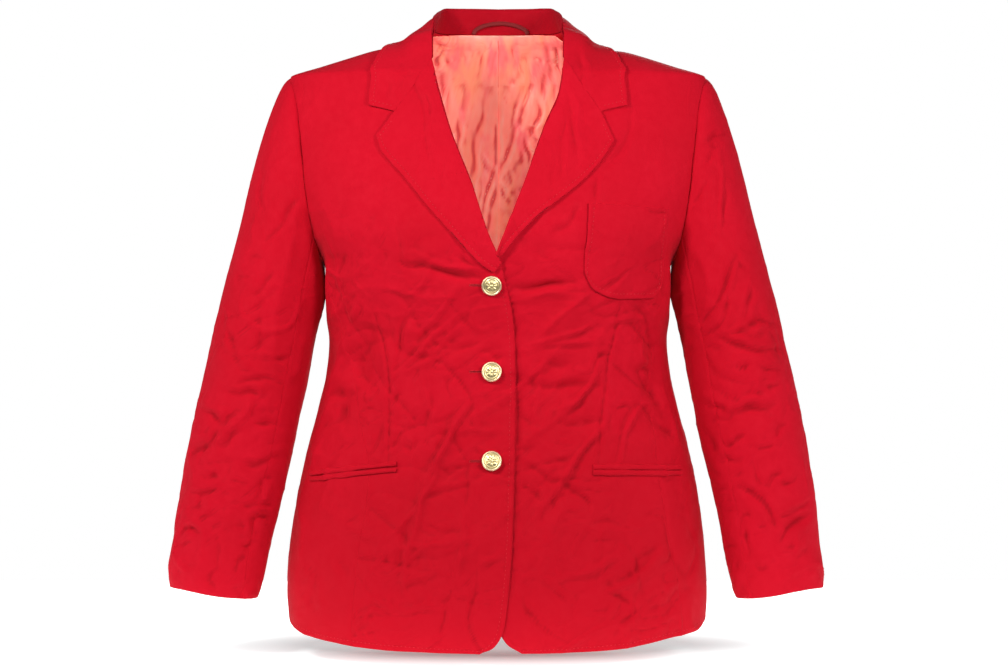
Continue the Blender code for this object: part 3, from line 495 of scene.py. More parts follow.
# Gorge seam and the two notch edges, x and z, given for the wearer's left
GORGE_START = (72.0, 13.5)
NOTCH = (110.5, -45.7)
LAPEL_TIP = {-1: (131.7, -73.5), 1: (126.0, -78.8)}
LAPEL_EDGE = {
    -1: np.array([
        (-4, -222), (-15, -215.5), (-33.2, -198), (-52.5, -176.5), (-75.3, -151.4), (-98.3, -122.6),
        (-127.4, -87.6), (-131.7, -73.5),
    ]),
    1: np.array([
        (1.5, -208), (24.6, -179.8), (45, -160.4), (73.1, -138.5), (90.6, -124), (110.6, -102.5),
        (126, -78.8),
    ]),
}
LAPEL_ROLL = {
    -1: np.array([(5, -212), (-11.4, -174), (-27, -126.6), (-49, -71), (-63, -23.4), (-71, 13.5)]),
    1: np.array([
        (-3, -203), (2.5, -189), (11, -168), (28, -124), (50, -62), (66, -23), (73, 13.5),
    ]),
}
# How far a lapel stands off the figure, from its roll out to its edge, the
# place in that row where the gorge ends, and the same for the collar leaf
LAPEL_LIFTS = (3.3, 4.6, 4.5, 4.1, 3.8, 3.6, 3.4)
GORGE_PLACE = 4
LEAF_CLEARANCE = 4.2

# Underlap of the left front: how deep it lies, and where that fades out
LAP_DEPTH = 2.7
LAP_X = (24.0, 60.0)

# How far the breast pocket and the welts lie off the fronts
PATCH_LIFT = 1.1
WELT_LIFT = 0.6
# Breast pocket outline in x and z: left side, bottom, right side, mouth
PATCH_LEFT = np.array([(97.1, -147.7), (96, -180), (93, -205), (92.5, -222)])
PATCH_BOTTOM = np.array([(92.5, -222), (101.4, -239), (132.5, -250), (166, -249), (176, -234)])
PATCH_RIGHT = np.array([(184, -152), (181.5, -185), (178.5, -212), (176, -234)])
PATCH_TOP = np.array([(97.1, -147.7), (140, -149.5), (184, -152)])

# Jetted pockets: x, z of the slit from its inner to its outer end
SLIT = {
    -1: np.array([(-108.7, -431), (-156, -436.5), (-206, -444.5)]),
    1: np.array([(102.1, -434.3), (154, -435.5), (201, -437.5)]),
}
# Height of a welt, and half the slit between two of them
WELT_HEIGHT = 5.4
SLIT_HALF = 0.4

# Buttons: z of each and x of all
BUTTON_HEIGHTS = {"button_top": -235.6, "button_middle": -328.4, "button_bottom": -424.3}
BUTTON_X = -6.5

# Hanger loop: x and z of the middle of the braid
HANGER = np.array([
    (-28, 53.6), (-26.5, 57.5), (-19, 62.4), (-8, 65.4), (3, 66.4), (14, 65.2), (24.5, 62), (32, 57.3),
    (33.5, 53.6),
])
# Its width and thickness, how far it lies inside the stand, and the stand's lean
HANGER_WIDTH = 4.6
HANGER_THICKNESS = 1.2
HANGER_INSET = 5.2
STAND_LEAN = 0.05

# Folds of the cloth.  Each row: depth (a trough is negative), half width, how
# much of a ridge stands beside it, and its line in x and z as seen from its side.
FRONT_FOLDS = (
    (-2.2, 2.4, 0, 4, -204, 13, -236, 20, -282, 21.5, -360, 20, -434, 18, -498, 13, -567, 4, -599),
    (-5.5, 12, 0.2, 152, -255, 158, -285, 168, -323, 181, -360, 194, -396),
    (-3.4, 5.5, 0.5, -100, -211, -78, -218, -55, -223, -35, -227, -14, -229),
    (-1.8, 3.5, 0.3, -46, -204, -33, -211, -20, -219), (1.3, 5, 0, -98, -246, -72, -248, -42, -250),
    (-1.2, 5, 0.2, -23, -251, -31, -267, -43, -280),
    (-3.6, 5, -0.5, 12, -238, 38, -239, 60, -236, 88, -229), (-1, 3, 0.3, 73, -242, 84, -242, 97, -240),
    (3.6, 6.75, 0, -146, -238, -154, -258, -163, -283, -172, -308, -184, -338),
    (-7.2, 18, 0, -139, -276, -148, -308, -160, -350),
    (-1.8, 4, 0.3, -97, -262, -104, -282, -108, -305, -111, -323),
    (2.6, 3.5, -0.5, -58, -279, -72, -292, -82, -306, -98, -319, -114, -336),
    (1.5, 3, -0.4, -60, -313, -75, -317, -88, -322, -103, -332),
    (-1.1, 5, 0.2, -35, -289, -48, -296, -60, -300), (-1.4, 4, 0.3, 8, -316, -6, -310, -20, -306),
    (-3.6, 7.5, 0.3, -188, -356, -172, -353, -154, -351),
    (-3.6, 7.5, 0.3, -189, -394, -177, -379, -163, -368),
    (-2.2, 2.6, 0.5, -172, -414, -164, -409, -155, -404),
    (-1.8, 5, 0.3, -120, -376, -127, -395, -135, -410, -141, -427),
    (-1.5, 3, 0.3, -103, -353, -112, -358, -116, -378),
    (-1.5, 3, 0.4, -103, -393, -109, -402, -115, -412), (-1.4, 4, 0.3, -70, -350, -75, -375, -82, -398),
    (-1.1, 3.5, 0.3, -48, -330, -54, -343, -50, -360), (1, 3, 0, -82, -360, -92, -370, -98, -384),
    (-1.2, 4, 0.3, -84, -400, -92, -410, -103, -408),
    (3.2, 4.5, -0.5, -26, -357, -38, -374, -52, -399, -64, -420, -74, -440, -81, -465),
    (2.6, 4.5, -0.5, -79, -458, -85, -484, -94, -508, -98, -530, -101, -556),
    (1.3, 3, -0.3, -42, -394, -24, -391, 2, -393), (1, 2.5, -0.3, -33, -371, -24, -381, -19, -392),
    (-1.2, 4, 0.3, -64, -431, -51, -437, -36, -434),
    (-1.5, 3.5, 0.4, -80, -466, -64, -459, -45, -455, -30, -449),
    (-1.5, 4, 0.4, -31, -425, -33, -452, -34, -480),
    (1.5, 4, 0, -33, -466, -37, -500, -41, -532, -47, -566),
    (-1.3, 6, 0.2, -146, -478, -156, -490, -168, -503),
    (1.6, 4, -0.4, -104, -559, -86, -549, -58, -539),
    (1.8, 3, -0.4, -138, -570, -124, -578, -112, -588),
    (1.5, 3.5, -0.4, -114, -588, -97, -584, -80, -581, -56, -580),
    (1.6, 3, -0.5, -156, -608, -146, -596, -135, -585, -120, -585),
    (-1.6, 2.6, 0.4, -54, -580, -58, -593, -61, -608), (-1.2, 3, 0.3, -49, -561, -54, -572, -61, -578),
    (1.6, 4, -0.4, -24, -539, -8, -529, 8, -522), (-1, 3, 0.4, -46, -572, -26, -574, -8, -577),
    (-1, 3.5, 0.3, -74, -493, -56, -500, -38, -499), (-1.2, 6, 0.2, -180, -520, -166, -540, -160, -566),
    (2, 4, 0, 40, -296, 55, -278, 72, -264, 86, -252, 98, -239),
    (2.2, 3.5, -0.4, 33, -299, 60, -293, 80, -286, 104, -276),
    (1.6, 3, -0.5, 36, -303, 62, -299, 84, -296, 108, -297),
    (-1.4, 7, 0.2, 42, -312, 62, -320, 86, -322),
    (-3.2, 5, 0.3, 150, -257, 161, -267, 167, -284, 172, -304, 178, -328),
    (1.4, 5, 0, 143, -260, 155, -280, 162, -300, 168, -320),
    (-1.5, 2.6, 0.4, 98, -333, 106, -318, 112, -311, 126, -309),
    (-2.4, 5, 0.3, 152, -327, 166, -326, 180, -331), (1.4, 4, 0, 106, -289, 116, -293, 124, -300),
    (1.4, 5, 0, 142, -292, 150, -289, 158, -292),
    (-2, 6, 0.4, 22, -340, 50, -345, 76, -342, 100, -344, 120, -348),
    (2.6, 3.5, -0.5, 68, -371, 82, -361, 93, -350, 105, -335),
    (1.2, 3, -0.4, 52, -383, 56, -373, 63, -365),
    (-1.8, 5, 0.3, 63, -381, 84, -387, 100, -382, 114, -380),
    (-1.2, 4, 0.3, 22, -376, 33, -383, 42, -388),
    (2.2, 3, -0.5, 163, -364, 147, -376, 140, -390, 135, -412, 131, -430),
    (-3.4, 5, 0.4, 157, -366, 171, -377, 183, -390, 197, -402),
    (-3, 4.5, 0.3, 152, -327, 166, -343, 182, -361), (-1.4, 3, 0.3, 126, -367, 136, -366, 150, -367),
    (3, 4, -0.5, 58, -461, 72, -441, 86, -420, 99, -402, 114, -386),
    (1.6, 4, -0.5, 40, -486, 48, -473, 60, -459), (-1.1, 2.6, 0.4, 50, -427, 66, -424, 84, -419),
    (-1.4, 4, 0.4, 22, -430, 42, -433, 55, -444, 66, -453),
    (-2.6, 4, 0.4, 63, -445, 78, -453, 90, -463, 101, -472),
    (-1.6, 4, 0.3, 26, -450, 37, -458, 49, -466), (-1.3, 3, 0.3, 170, -451, 185, -447, 199, -440),
    (-1.2, 5, 0.4, 96, -487, 118, -490, 142, -491),
    (0.9, 6, 0, 56, -492, 104, -500, 150, -498, 182, -492),
    (1.9, 4, -0.5, 58, -552, 86, -546, 106, -539, 130, -527),
    (1.5, 3, -0.4, 56, -553, 68, -563, 82, -574),
    (2.6, 4, 0.5, 116, -567, 136, -558, 152, -550, 164, -540, 178, -523),
    (-1.8, 5, 0, 141, -549, 154, -534, 170, -517), (-1.9, 2.6, 0.5, 113, -563, 130, -571, 148, -579),
    (-2.2, 3.5, 0.4, 153, -583, 140, -594, 126, -608), (0.9, 4, 0, 84, -590, 106, -589, 132, -588),
    (-1.8, 5, 0.4, 163, -588, 183, -580, 202, -563), (-1.2, 3, 0.3, 178, -539, 186, -532, 194, -524),
    (-1, 4, 0.4, 26, -580, 38, -589, 52, -598), (1, 3, 0, 24, -546, 40, -547, 58, -550),
    (-1.3, 4.5, 0.3, 148, -38, 141, -68, 130, -92, 110, -111),
    (-1.3, 2.6, 0.4, 105, -110, 106, -130, 105, -152), (-1.6, 4, 0.4, 56, -182, 75, -170, 90, -148),
    (-1.4, 2.4, 0.4, 162, -154, 173, -156, 186, -157), (1.4, 6, 0, 188, -158, 176, -178, 160, -198),
    (1.2, 9, 0, -198, -128, -181, -170, -168, -208), (-1.4, 3, 0.3, -166, -202, -170, -214, -172, -228),
    (-0.9, 8, 0.2, -118, -120, -133, -160, -140, -196),
)
# The back isn't shown: a hollow of the same kind of drag lines at the waist,
# and soft folds falling from it
BACK_FOLDS = (
    (-2.8, 7, 0.5, -150, -262, -96, -285, -38, -292), (-2.8, 7, -0.5, 146, -270, 98, -290, 44, -296),
    (-2.2, 5, 0.5, -118, -318, -82, -306, -46, -312), (-2.2, 5, 0.5, 128, -322, 92, -311, 58, -314),
    (2.2, 4, -0.4, -60, -335, -92, -362, -118, -404), (2.3, 4, 0.4, 66, -340, 98, -370, 120, -416),
    (-1.8, 7, 0.4, -44, -430, -50, -500, -62, -582), (-1.8, 7, 0.4, 58, -452, 66, -520, 72, -596),
    (-2, 8, 0.5, -150, -120, -128, -160, -118, -212), (-2, 8, -0.5, 152, -128, 132, -166, 124, -214),
    (-1.4, 9, 0.4, -92, -20, -104, -52, -122, -86), (-1.4, 9, 0.4, 96, -24, 108, -58, 128, -92),
    (1.6, 3.5, -0.4, -30, -392, -62, -412, -88, -444), (1.6, 3.5, 0.4, 34, -372, 58, -396, 74, -436),
    (1.5, 3.5, -0.4, -150, -560, -118, -548, -84, -552),
    (1.5, 3.5, 0.4, 96, -566, 128, -552, 166, -540), (-1.5, 4, 0.4, 20, -330, 40, -352, 52, -384),
    (-1.5, 4, 0.4, -24, -336, -38, -360, -46, -390), (-1.3, 4, 0.4, -160, -440, -128, -452, -104, -478),
    (-1.3, 4, 0.4, 164, -430, 136, -446, 112, -466),
)
SLEEVE_FOLDS = {
-1: (
    (-2.6, 4, 0.5, -217, -139, -229, -153, -240, -172, -255, -187),
    (2, 7, 0, -212, -148, -224, -180, -233, -215, -241, -250, -243, -290, -246, -334),
    (1.3, 2.6, 0, -262, -150, -268, -168, -270, -190),
    (-1.4, 3.5, 0.3, -258, -98, -260, -128, -258, -160),
    (-2.2, 4, 0.4, -247, -219, -257, -235, -270, -246),
    (-1.8, 5, 0.3, -262, -248, -260, -280, -262, -300, -266, -320),
    (-1.3, 5, 0.3, -280, -210, -268, -203, -254, -205),
    (-1.2, 5, 0.3, -292, -230, -282, -225, -272, -222),
    (-2, 3.5, 0.4, -299, -280, -292, -300, -288, -312, -282, -324),
    (-2.2, 2.4, 0.4, -260, -315, -246, -315, -228, -315),
    (-1.6, 3, 0.3, -284, -326, -275, -328, -265, -331),
    (-2.2, 2.8, 0.5, -286, -343, -272, -337, -256, -336, -232, -344),
    (-3, 3.4, 0.4, -293, -352, -282, -352, -270, -351, -256, -357),
    (-3.2, 4.2, 0.4, -329, -367, -316, -375, -304, -384, -297, -386),
    (-2.8, 4, -0.4, -302, -387, -293, -378, -284, -370),
    (-4.2, 4.6, 0.5, -342, -421, -330, -415, -320, -409, -313, -402, -306, -393),
    (2.2, 5, 0, -314, -409, -303, -398, -290, -388, -277, -378, -266, -362),
    (-2.2, 4, 0.4, -310, -412, -299, -408, -291, -399, -278, -393),
    (-2.4, 3, -0.5, -270, -384, -258, -386, -246, -388, -232, -392),
    (-1.6, 2.6, 0.4, -274, -379, -265, -365, -257, -356),
    (-1.5, 3, 0.3, -258, -373, -250, -373, -243, -372),
    (-1.6, 4, 0.3, -256, -411, -248, -409, -238, -409),
    (-2.6, 4.5, 0.5, -279, -428, -268, -433, -258, -428, -240, -422),
    (-2.4, 3.5, 0.5, -244, -444, -256, -448, -259, -459, -266, -471),
    (-2.4, 4, 0.4, -325, -443, -315, -443, -304, -444),
    (-3.2, 3.6, 0.5, -339, -463, -322, -462, -310, -459, -298, -453),
    (1.8, 3.5, -0.4, -317, -465, -303, -458, -292, -453, -280, -452),
    (-1.8, 3, 0.4, -293, -446, -283, -450, -273, -452),
    (-2.4, 4, 0.4, -340, -482, -331, -476, -322, -472),
    (-1.6, 3, 0.3, -328, -487, -321, -487, -314, -485),
    (-2.4, 3.5, 0.4, -280, -475, -264, -475, -248, -475),
    (-3.2, 4, 0.5, -266, -510, -267, -495, -261, -489, -247, -488),
    (-3.4, 3.6, 0.5, -354, -511, -344, -502, -335, -501, -321, -506),
    (-2, 2.6, 0.4, -313, -500, -307, -497, -302, -493),
    (-1.5, 3.5, 0.3, -307, -508, -305, -526, -308, -546),
    (-2.4, 5, 0.3, -310, -543, -315, -556, -312, -570),
    (-1.9, 3, 0.4, -353, -521, -344, -518, -334, -516),
    (-2.8, 3, 0.5, -279, -520, -269, -519, -260, -518),
    (-2.4, 3.2, 0.4, -290, -547, -283, -537, -276, -527),
    (1.2, 3, 0, -302, -567, -286, -560, -270, -550),
),
1: (
    (-2.8, 3, 0.4, 229, -70, 240, -69, 252, -64), (-2, 2.6, 0.4, 219, -76, 232, -78, 246, -79),
    (1.6, 2.6, -0.3, 242, -84, 244, -120, 244, -152, 242, -188),
    (-1.4, 3, 0, 249, -126, 248, -150, 246, -172), (-1.4, 3, 0.3, 239, -83, 234, -91, 229, -99),
    (-1.5, 3, 0.4, 230, -120, 220, -135, 211, -148),
    (1.8, 8, 0, 211, -172, 222, -205, 231, -240, 233, -266),
    (-2.6, 2.6, 0.6, 263, -200, 252, -225, 246, -240, 240, -257, 219, -280),
    (-2, 3, 0.5, 252, -238, 250, -256, 243, -278, 225, -292),
    (1.8, 4, 0, 224, -287, 237, -277, 249, -262), (-1.6, 3, 0.3, 260, -200, 268, -212, 277, -219),
    (-4, 4.2, -0.5, 262, -285, 276, -278, 289, -274, 308, -276),
    (2, 3.5, 0, 248, -288, 262, -282, 276, -276),
    (-2.4, 3, 0.4, 241, -292, 256, -288, 272, -286, 292, -290),
    (1.6, 4, 0, 253, -292, 268, -294, 288, -298),
    (-3.4, 3.6, 0.5, 243, -291, 256, -299, 270, -303, 290, -306, 314, -304),
    (1.2, 4, 0, 281, -313, 300, -316, 312, -318), (-2.6, 2.6, 0.5, 260, -322, 268, -325, 275, -319),
    (-2.8, 3.5, 0.4, 286, -323, 300, -328, 316, -328),
    (-2.4, 2.6, 0.4, 285, -337, 294, -337, 303, -335), (-1.3, 3, 0.3, 220, -303, 234, -303, 249, -303),
    (1.4, 3, 0, 264, -309, 250, -325, 238, -344), (-1.9, 4, 0.4, 279, -237, 275, -255, 269, -273),
    (1.3, 3.5, 0, 277, -226, 272, -250, 264, -272), (-2.6, 3.2, 0.5, 223, -361, 238, -368, 254, -373),
    (2, 4, 0, 248, -370, 265, -365, 278, -360, 294, -356),
    (-2.8, 4.6, 0.3, 255, -374, 275, -371, 291, -369, 307, -364),
    (-2.2, 4, 0.3, 233, -384, 246, -382, 258, -378), (-1.5, 3, 0.3, 269, -353, 280, -351, 295, -355),
    (-2.3, 4, 0.3, 293, -345, 301, -345, 311, -344), (-2.8, 3.2, 0.5, 250, -412, 259, -406, 269, -396),
    (1.7, 4, 0, 248, -419, 260, -413, 270, -404), (-2.4, 3, 0.4, 228, -388, 234, -404, 241, -422),
    (-1.9, 4, 0.4, 240, -430, 252, -427, 268, -425), (1.7, 2.6, -0.5, 231, -427, 241, -435, 249, -446),
    (-1.6, 3, 0.4, 252, -445, 262, -442, 271, -440), (-1.7, 3, 0.4, 274, -410, 286, -412, 314, -409),
    (-1.5, 4, 0.4, 303, -403, 308, -393, 318, -384), (-2.3, 3.2, 0.4, 296, -454, 303, -444, 313, -437),
    (-1.5, 2.6, 0.4, 280, -428, 284, -445, 290, -452, 299, -452),
    (-2.4, 3.2, 0.4, 309, -452, 320, -451, 331, -444),
    (-3.6, 4.2, 0.5, 265, -454, 280, -463, 291, -468, 298, -476, 303, -487, 309, -501),
    (1.7, 5, 0, 264, -463, 279, -471, 289, -480, 299, -495),
    (-1.3, 2.4, 0.3, 238, -457, 247, -458, 256, -458),
    (-1.5, 2.6, 0.3, 249, -470, 257, -470, 265, -471),
    (-2.8, 3.6, 0.4, 308, -488, 324, -486, 333, -479, 345, -472),
    (-3.8, 4.6, -0.5, 314, -513, 325, -500, 333, -492, 349, -486),
    (-1.7, 3, 0.4, 287, -499, 294, -498, 300, -495), (-2.3, 2.6, 0.5, 272, -501, 277, -517, 281, -529),
    (-1.6, 2.6, 0.4, 261, -506, 267, -495, 271, -483), (-1.9, 3, 0.4, 268, -483, 274, -485, 281, -486),
    (-1.7, 3, 0.4, 248, -482, 258, -481, 268, -480), (-2.2, 2.6, 0.4, 250, -526, 261, -520, 272, -522),
    (-1.8, 3, 0.4, 267, -528, 267, -538, 265, -549), (-1.6, 4, 0.4, 284, -541, 294, -544, 305, -545),
    (1.7, 4, 0, 332, -502, 335, -520, 329, -538),
),
}
# Backs of the sleeves, for the wearer's left; the right one has them mirrored
SLEEVE_BACK_FOLDS = (
    (-3.2, 4.5, 0.5, 228, -300, 256, -312, 290, -306), (-2.8, 4, 0.5, 250, -338, 284, -330, 322, -344),
    (-2.6, 4, 0.4, 238, -372, 262, -384, 292, -380), (-3.4, 4.5, 0.6, 262, -430, 292, -418, 326, -426),
    (-2.4, 4, 0.4, 262, -476, 296, -488, 336, -482), (-2.4, 7, 0.5, 224, -150, 246, -196, 278, -232),
    (1.8, 3.5, -0.4, 240, -262, 262, -276, 280, -296), (-2, 3, 0.4, 300, -352, 310, -368, 308, -390),
    (-2.2, 3, 0.4, 252, -402, 274, -396, 290, -402), (-2, 3, 0.4, 290, -448, 304, -456, 324, -452),
    (-2.2, 3, 0.4, 282, -512, 304, -508, 330, -518), (1.6, 4, 0, 232, -120, 240, -168, 244, -220),
)
LINING_FOLDS = (
    (-3.4, 3.2, 0.4, 2, -22, -2, -60, -3, -85, -8, -105, -14, -125, -19, -152),
    (-2.7, 3.2, 0.5, 24, -38, 14, -65, 8, -82, -4, -111), (-1.3, 3, 0.5, -24, -78, -13, -93, -7, -102),
    (-1.7, 3, 0.5, -4, -111, 5, -122, 10, -130, 15, -138),
    (-2.4, 3.2, 0.4, -2, -113, -5, -130, -10, -146, -13, -170),
    (-1.5, 3, 0.4, 11, -135, 14, -129, 18, -120), (-3.2, 4, 0.4, -29, -54, -29, -85, -32, -116),
    (-2.4, 3, 0.6, -46, -38, -47, -56, -47, -80), (-2.4, 3.2, 0.5, -79, 46, -71, 47, -63, 45),
    (-2.4, 3.2, 0.5, -64, 43, -69, 33, -73, 20), (-1, 3, 0.4, -59, 46, -60, 34, -58, 20),
    (-2.2, 3.2, 0.4, -72, 16, -66, 14, -65, -2, -66, -18), (-1.3, 3, 0.5, -62, 18, -61, -6, -57, -26),
    (-2.2, 5, 0.4, -15, -10, -19, -35, -26, -55, -27, -76),
    (-2.4, 3.2, 0.5, 46, -16, 48, -30, 45, -40, 33, -62), (-2.6, 3.6, 0.4, 33, -46, 39, -53, 46, -66),
    (-2.4, 4, 0.4, 39, 4, 34, -12, 28, -28, 22, -52),
    (-1.7, 3.2, 0.5, 27, -4, 22, -20, 18, -33, 14, -50, 9, -66), (-1.1, 3, 0.5, 6, 2, 13, -5, 20, -12),
    (-0.9, 3, 0.4, 30, 18, 20, 8, 12, 0), (-2.2, 5, 0.3, 58, 54, 57, 30, 54, 5, 51, -18),
    (-2.7, 3.2, 0.6, 65, 52, 69, 28, 73, 2), (-2, 3.2, 0.5, 62, 30, 64, 6, 64, -14),
    (-1.5, 3, 0.5, 69, 52, 74, 44, 79, 38), (-2, 3.2, 0.5, 29, -58, 33, -72, 37, -90),
    (1.5, 3.2, 0, 35, -62, 41, -78, 39, -96), (2.2, 4, 0, 1, -146, -2, -172, -3, -196),
    (-1, 3, 0.4, 45, 34, 49, 28, 50, 18), (-1, 3.2, 0.3, -24, 40, -20, 28, -24, 14),
    (-1.3, 3.2, 0.4, 20, -92, 26, -86, 28, -74), (-1, 3, 0.4, 14, -104, 18, -110, 19, -120),
    (-1.2, 4, 0.3, -44, 20, -40, -6, -42, -34),
)
LAPEL_FOLDS = (
    (-2, 4, 0.4, -99, 8, -90, -18, -82, -42, -79, -72, -72, -102),
    (-2, 2.2, 0.4, -78, -26, -75, -38, -73, -52), (-1, 4, 0.3, -56, -96, -60, -118, -58, -140),
    (-2.6, 4, 0.4, 74, -22, 78, -40, 81, -62, 85, -100), (-2.2, 4, 0.4, 74, -52, 69, -82, 67, -120),
)
COLLAR_FOLDS = (
    (-2.4, 4, 0.4, 89, 24, 92, 2, 89, -22), (-1.4, 5, 0.3, -106, 14, -102, -2, -106, -24),
    (-1.2, 6, 0.3, -128, -6, -118, -20, -120, -38),
)
STAND_FOLDS = (
    (-1.6, 7, 0.5, -50, 79, -44, 66, -47, 52), (-1.4, 8, 0.5, 38, 80, 44, 66, 40, 54),
    (-1, 10, 0.3, -8, 80, -5, 66, -10, 54),
)
# Darts sewn into the fronts: x and z
DART = {
    -1: ((-137, -257), (-130, -285), (-122, -310), (-118.5, -346), (-118.5, -386), (-118, -430)),
    1: ((130.6, -256), (128, -282), (121, -310), (116, -350), (110, -396), (109, -430)),
}


def smooth(table, column, at):
    """Read a column of a table at any key with a curve that never overshoots."""
    keys, values = table[:, 0], table[:, column]
    if keys[0] > keys[-1]:
        keys, values = keys[::-1], values[::-1]
    steps = np.diff(keys)
    slopes = np.diff(values) / steps
    product = slopes[:-1] * slopes[1:]
    total = slopes[:-1] + slopes[1:]
    middle = np.where(product > 0, 2 * product / np.where(total == 0, 1.0, total), 0.0)
    tangents = np.concatenate([slopes[:1], middle, slopes[-1:]])
    at = np.clip(np.asarray(at, dtype=float), keys[0], keys[-1])
    cell = np.clip(np.searchsorted(keys, at, side="right") - 1, 0, len(steps) - 1)
    t = (at - keys[cell]) / steps[cell]
    start = values[cell] + tangents[cell] * steps[cell] * t * (1 - t) ** 2
    start = start + (values[cell + 1] - values[cell]) * t * t * (3 - 2 * t)
    return start - tangents[cell + 1] * steps[cell] * t * t * (1 - t)


def level_of(z):
    z = np.asarray(z, dtype=float)
    over_slope = z * SLOPE_TOP_LEVEL / SLOPE_TOP_Z
    above = SLOPE_TOP_LEVEL + z - SLOPE_TOP_Z
    return np.where(z < 0, z, np.where(z < SLOPE_TOP_Z, over_slope, above))


def height_of(level):
    level = np.asarray(level, dtype=float)
    on_slope = level * SLOPE_TOP_Z / SLOPE_TOP_LEVEL
    above = SLOPE_TOP_Z + level - SLOPE_TOP_LEVEL
    return np.where(level < 0, level, np.where(level < SLOPE_TOP_LEVEL, on_slope, above))


def unit(vectors):
    return vectors / np.maximum(np.linalg.norm(vectors, axis=-1, keepdims=True), 1e-9)


def depth_at(level, in_front):
    """Depth of the figure at a level, in front or behind."""
    return np.where(in_front, smooth(TORSO, 2, level), smooth(TORSO, 3, level))


def torso(angle, level):
    """Points of the figure: 0 degrees is the centre front, 90 the wearer's left."""
    turn = np.radians(angle)
    power = 2.0 / smooth(TORSO, 4, level)
    across, ahead = (np.sign(share) * np.abs(share) ** power for share in (np.sin(turn), np.cos(turn)))
    x = smooth(TORSO, 1, level) * across
    y = -depth_at(level, np.cos(turn) > 0) * ahead
    return np.stack([x, y, height_of(level) + 0 * x], axis=-1)


def torso_normal(angle, level):
    round_it = torso(angle + 0.5, level) - torso(angle - 0.5, level)
    up_it = torso(angle, level + 0.5) - torso(angle, level - 0.5)
    return unit(np.cross(round_it, up_it))


def lifted(angle, level, lift):
    lift = np.asarray(lift, dtype=float)[..., None]
    return torso(angle, level) + torso_normal(angle, level) * lift


def front_angle(x, z):
    """Angle of the front point that shows at x, z."""
    level = level_of(z)
    ratio = np.clip(np.abs(x) / smooth(TORSO, 1, level), 0.0, 1.0)
    return np.sign(x) * np.degrees(np.arcsin(ratio ** (smooth(TORSO, 4, level) / 2)))


def on_front(flat, lift):
    """Points over the front of the figure at pairs of x and z."""
    angle = front_angle(flat[..., 0], flat[..., 1])
    return lifted(angle, level_of(flat[..., 1]), lift + 0 * angle)


def front_pairs(points):
    """Angle and level of the front points at x and z."""
    return np.stack([front_angle(points[:, 0], points[:, 1]), level_of(points[:, 1])], axis=-1)


def side_pairs(points, side):
    """Angle and level of the side points at y and z."""
    y, level = points[:, 0], level_of(points[:, 1])
    ratio = (np.abs(y) / depth_at(level, y < 0)) ** (smooth(TORSO, 4, level) / 2)
    from_front = np.degrees(np.arccos(np.clip(ratio, 0, 1)))
    return np.stack([side * np.where(y < 0, from_front, 180 - from_front), level], axis=-1)


def mirrored(pairs, side):
    return pairs * np.array([side, 1.0])


def run_length(points):
    lengths = np.linalg.norm(np.diff(points, axis=0), axis=-1)
    return np.concatenate([np.zeros((1,) + lengths.shape[1:]), np.cumsum(lengths, axis=0)])


def resampled(points, cells):
    """Cut a line into cells of equal length."""
    points = np.asarray(points, dtype=float)
    along = run_length(points)
    wanted = np.linspace(0.0, along[-1], cells + 1)
    return np.stack([np.interp(wanted, along, column) for column in points.T], axis=-1)


def finer(values, at):
    """Read rows of values at places between their indices."""
    values = np.asarray(values, dtype=float)
    table = np.column_stack([np.arange(len(values)), values.reshape(len(values), -1)])
    columns = [smooth(table, column, at) for column in range(1, table.shape[1])]
    return np.stack(columns, axis=-1).reshape((len(at),) + values.shape[1:])


def smooth_line(points, cells):
    """A smooth curve through a few points, cut into equal cells."""
    return resampled(finer(points, np.linspace(0, len(points) - 1, 12 * len(points))), cells)


def between(first, last, cells):
    """Points that run straight from one to the other."""
    share = np.linspace(0.0, 1.0, cells + 1)[:, None]
    return first * (1 - share) + last * share


def coons(bottom, top, left, right):
    """Fill four edges; left and right run upwards, bottom and top run across."""
    u = np.linspace(0, 1, len(bottom))[None, :, None]
    v = np.linspace(0, 1, len(left))[:, None, None]
    across = bottom[None] * (1 - v) + top[None] * v
    upward = left[:, None] * (1 - u) + right[:, None] * u
    corners = bottom[0] * (1 - u) * (1 - v) + bottom[-1] * u * (1 - v)
    corners = corners + top[0] * (1 - u) * v + top[-1] * u * v
    return across + upward - corners


def grid_normals(grid):
    """Normals of a grid of points, pointing away from the wearer."""
    return unit(np.cross(np.gradient(grid, axis=1), np.gradient(grid, axis=0)))


def fade(value, low, high):
    share = np.clip((value - low) / (high - low), 0.0, 1.0)
    return share * share * (3 - 2 * share)


def growing(value, least, low, high):
    """From the least share at one value to 1 at another."""
    return least + (1 - least) * fade(value, low, high)


def bell(value, middle, width):
    return np.exp(-((value - middle) / width) ** 2)


def ripple(points, wavelength, seed):
    """Soft uneven swell of the cloth, from -1 to 1 or so."""
    random = np.random.default_rng(seed)
    total = np.zeros(points.shape[:-1])
    for _ in range(RIPPLE_WAVES):
        direction = unit(random.normal(size=3))
        length = wavelength * random.uniform(*RIPPLE_LENGTHS)
        phase = random.uniform(0, 2 * math.pi)
        total += np.sin(points @ direction * (2 * math.pi / length) + phase)
    return total / math.sqrt(RIPPLE_WAVES)


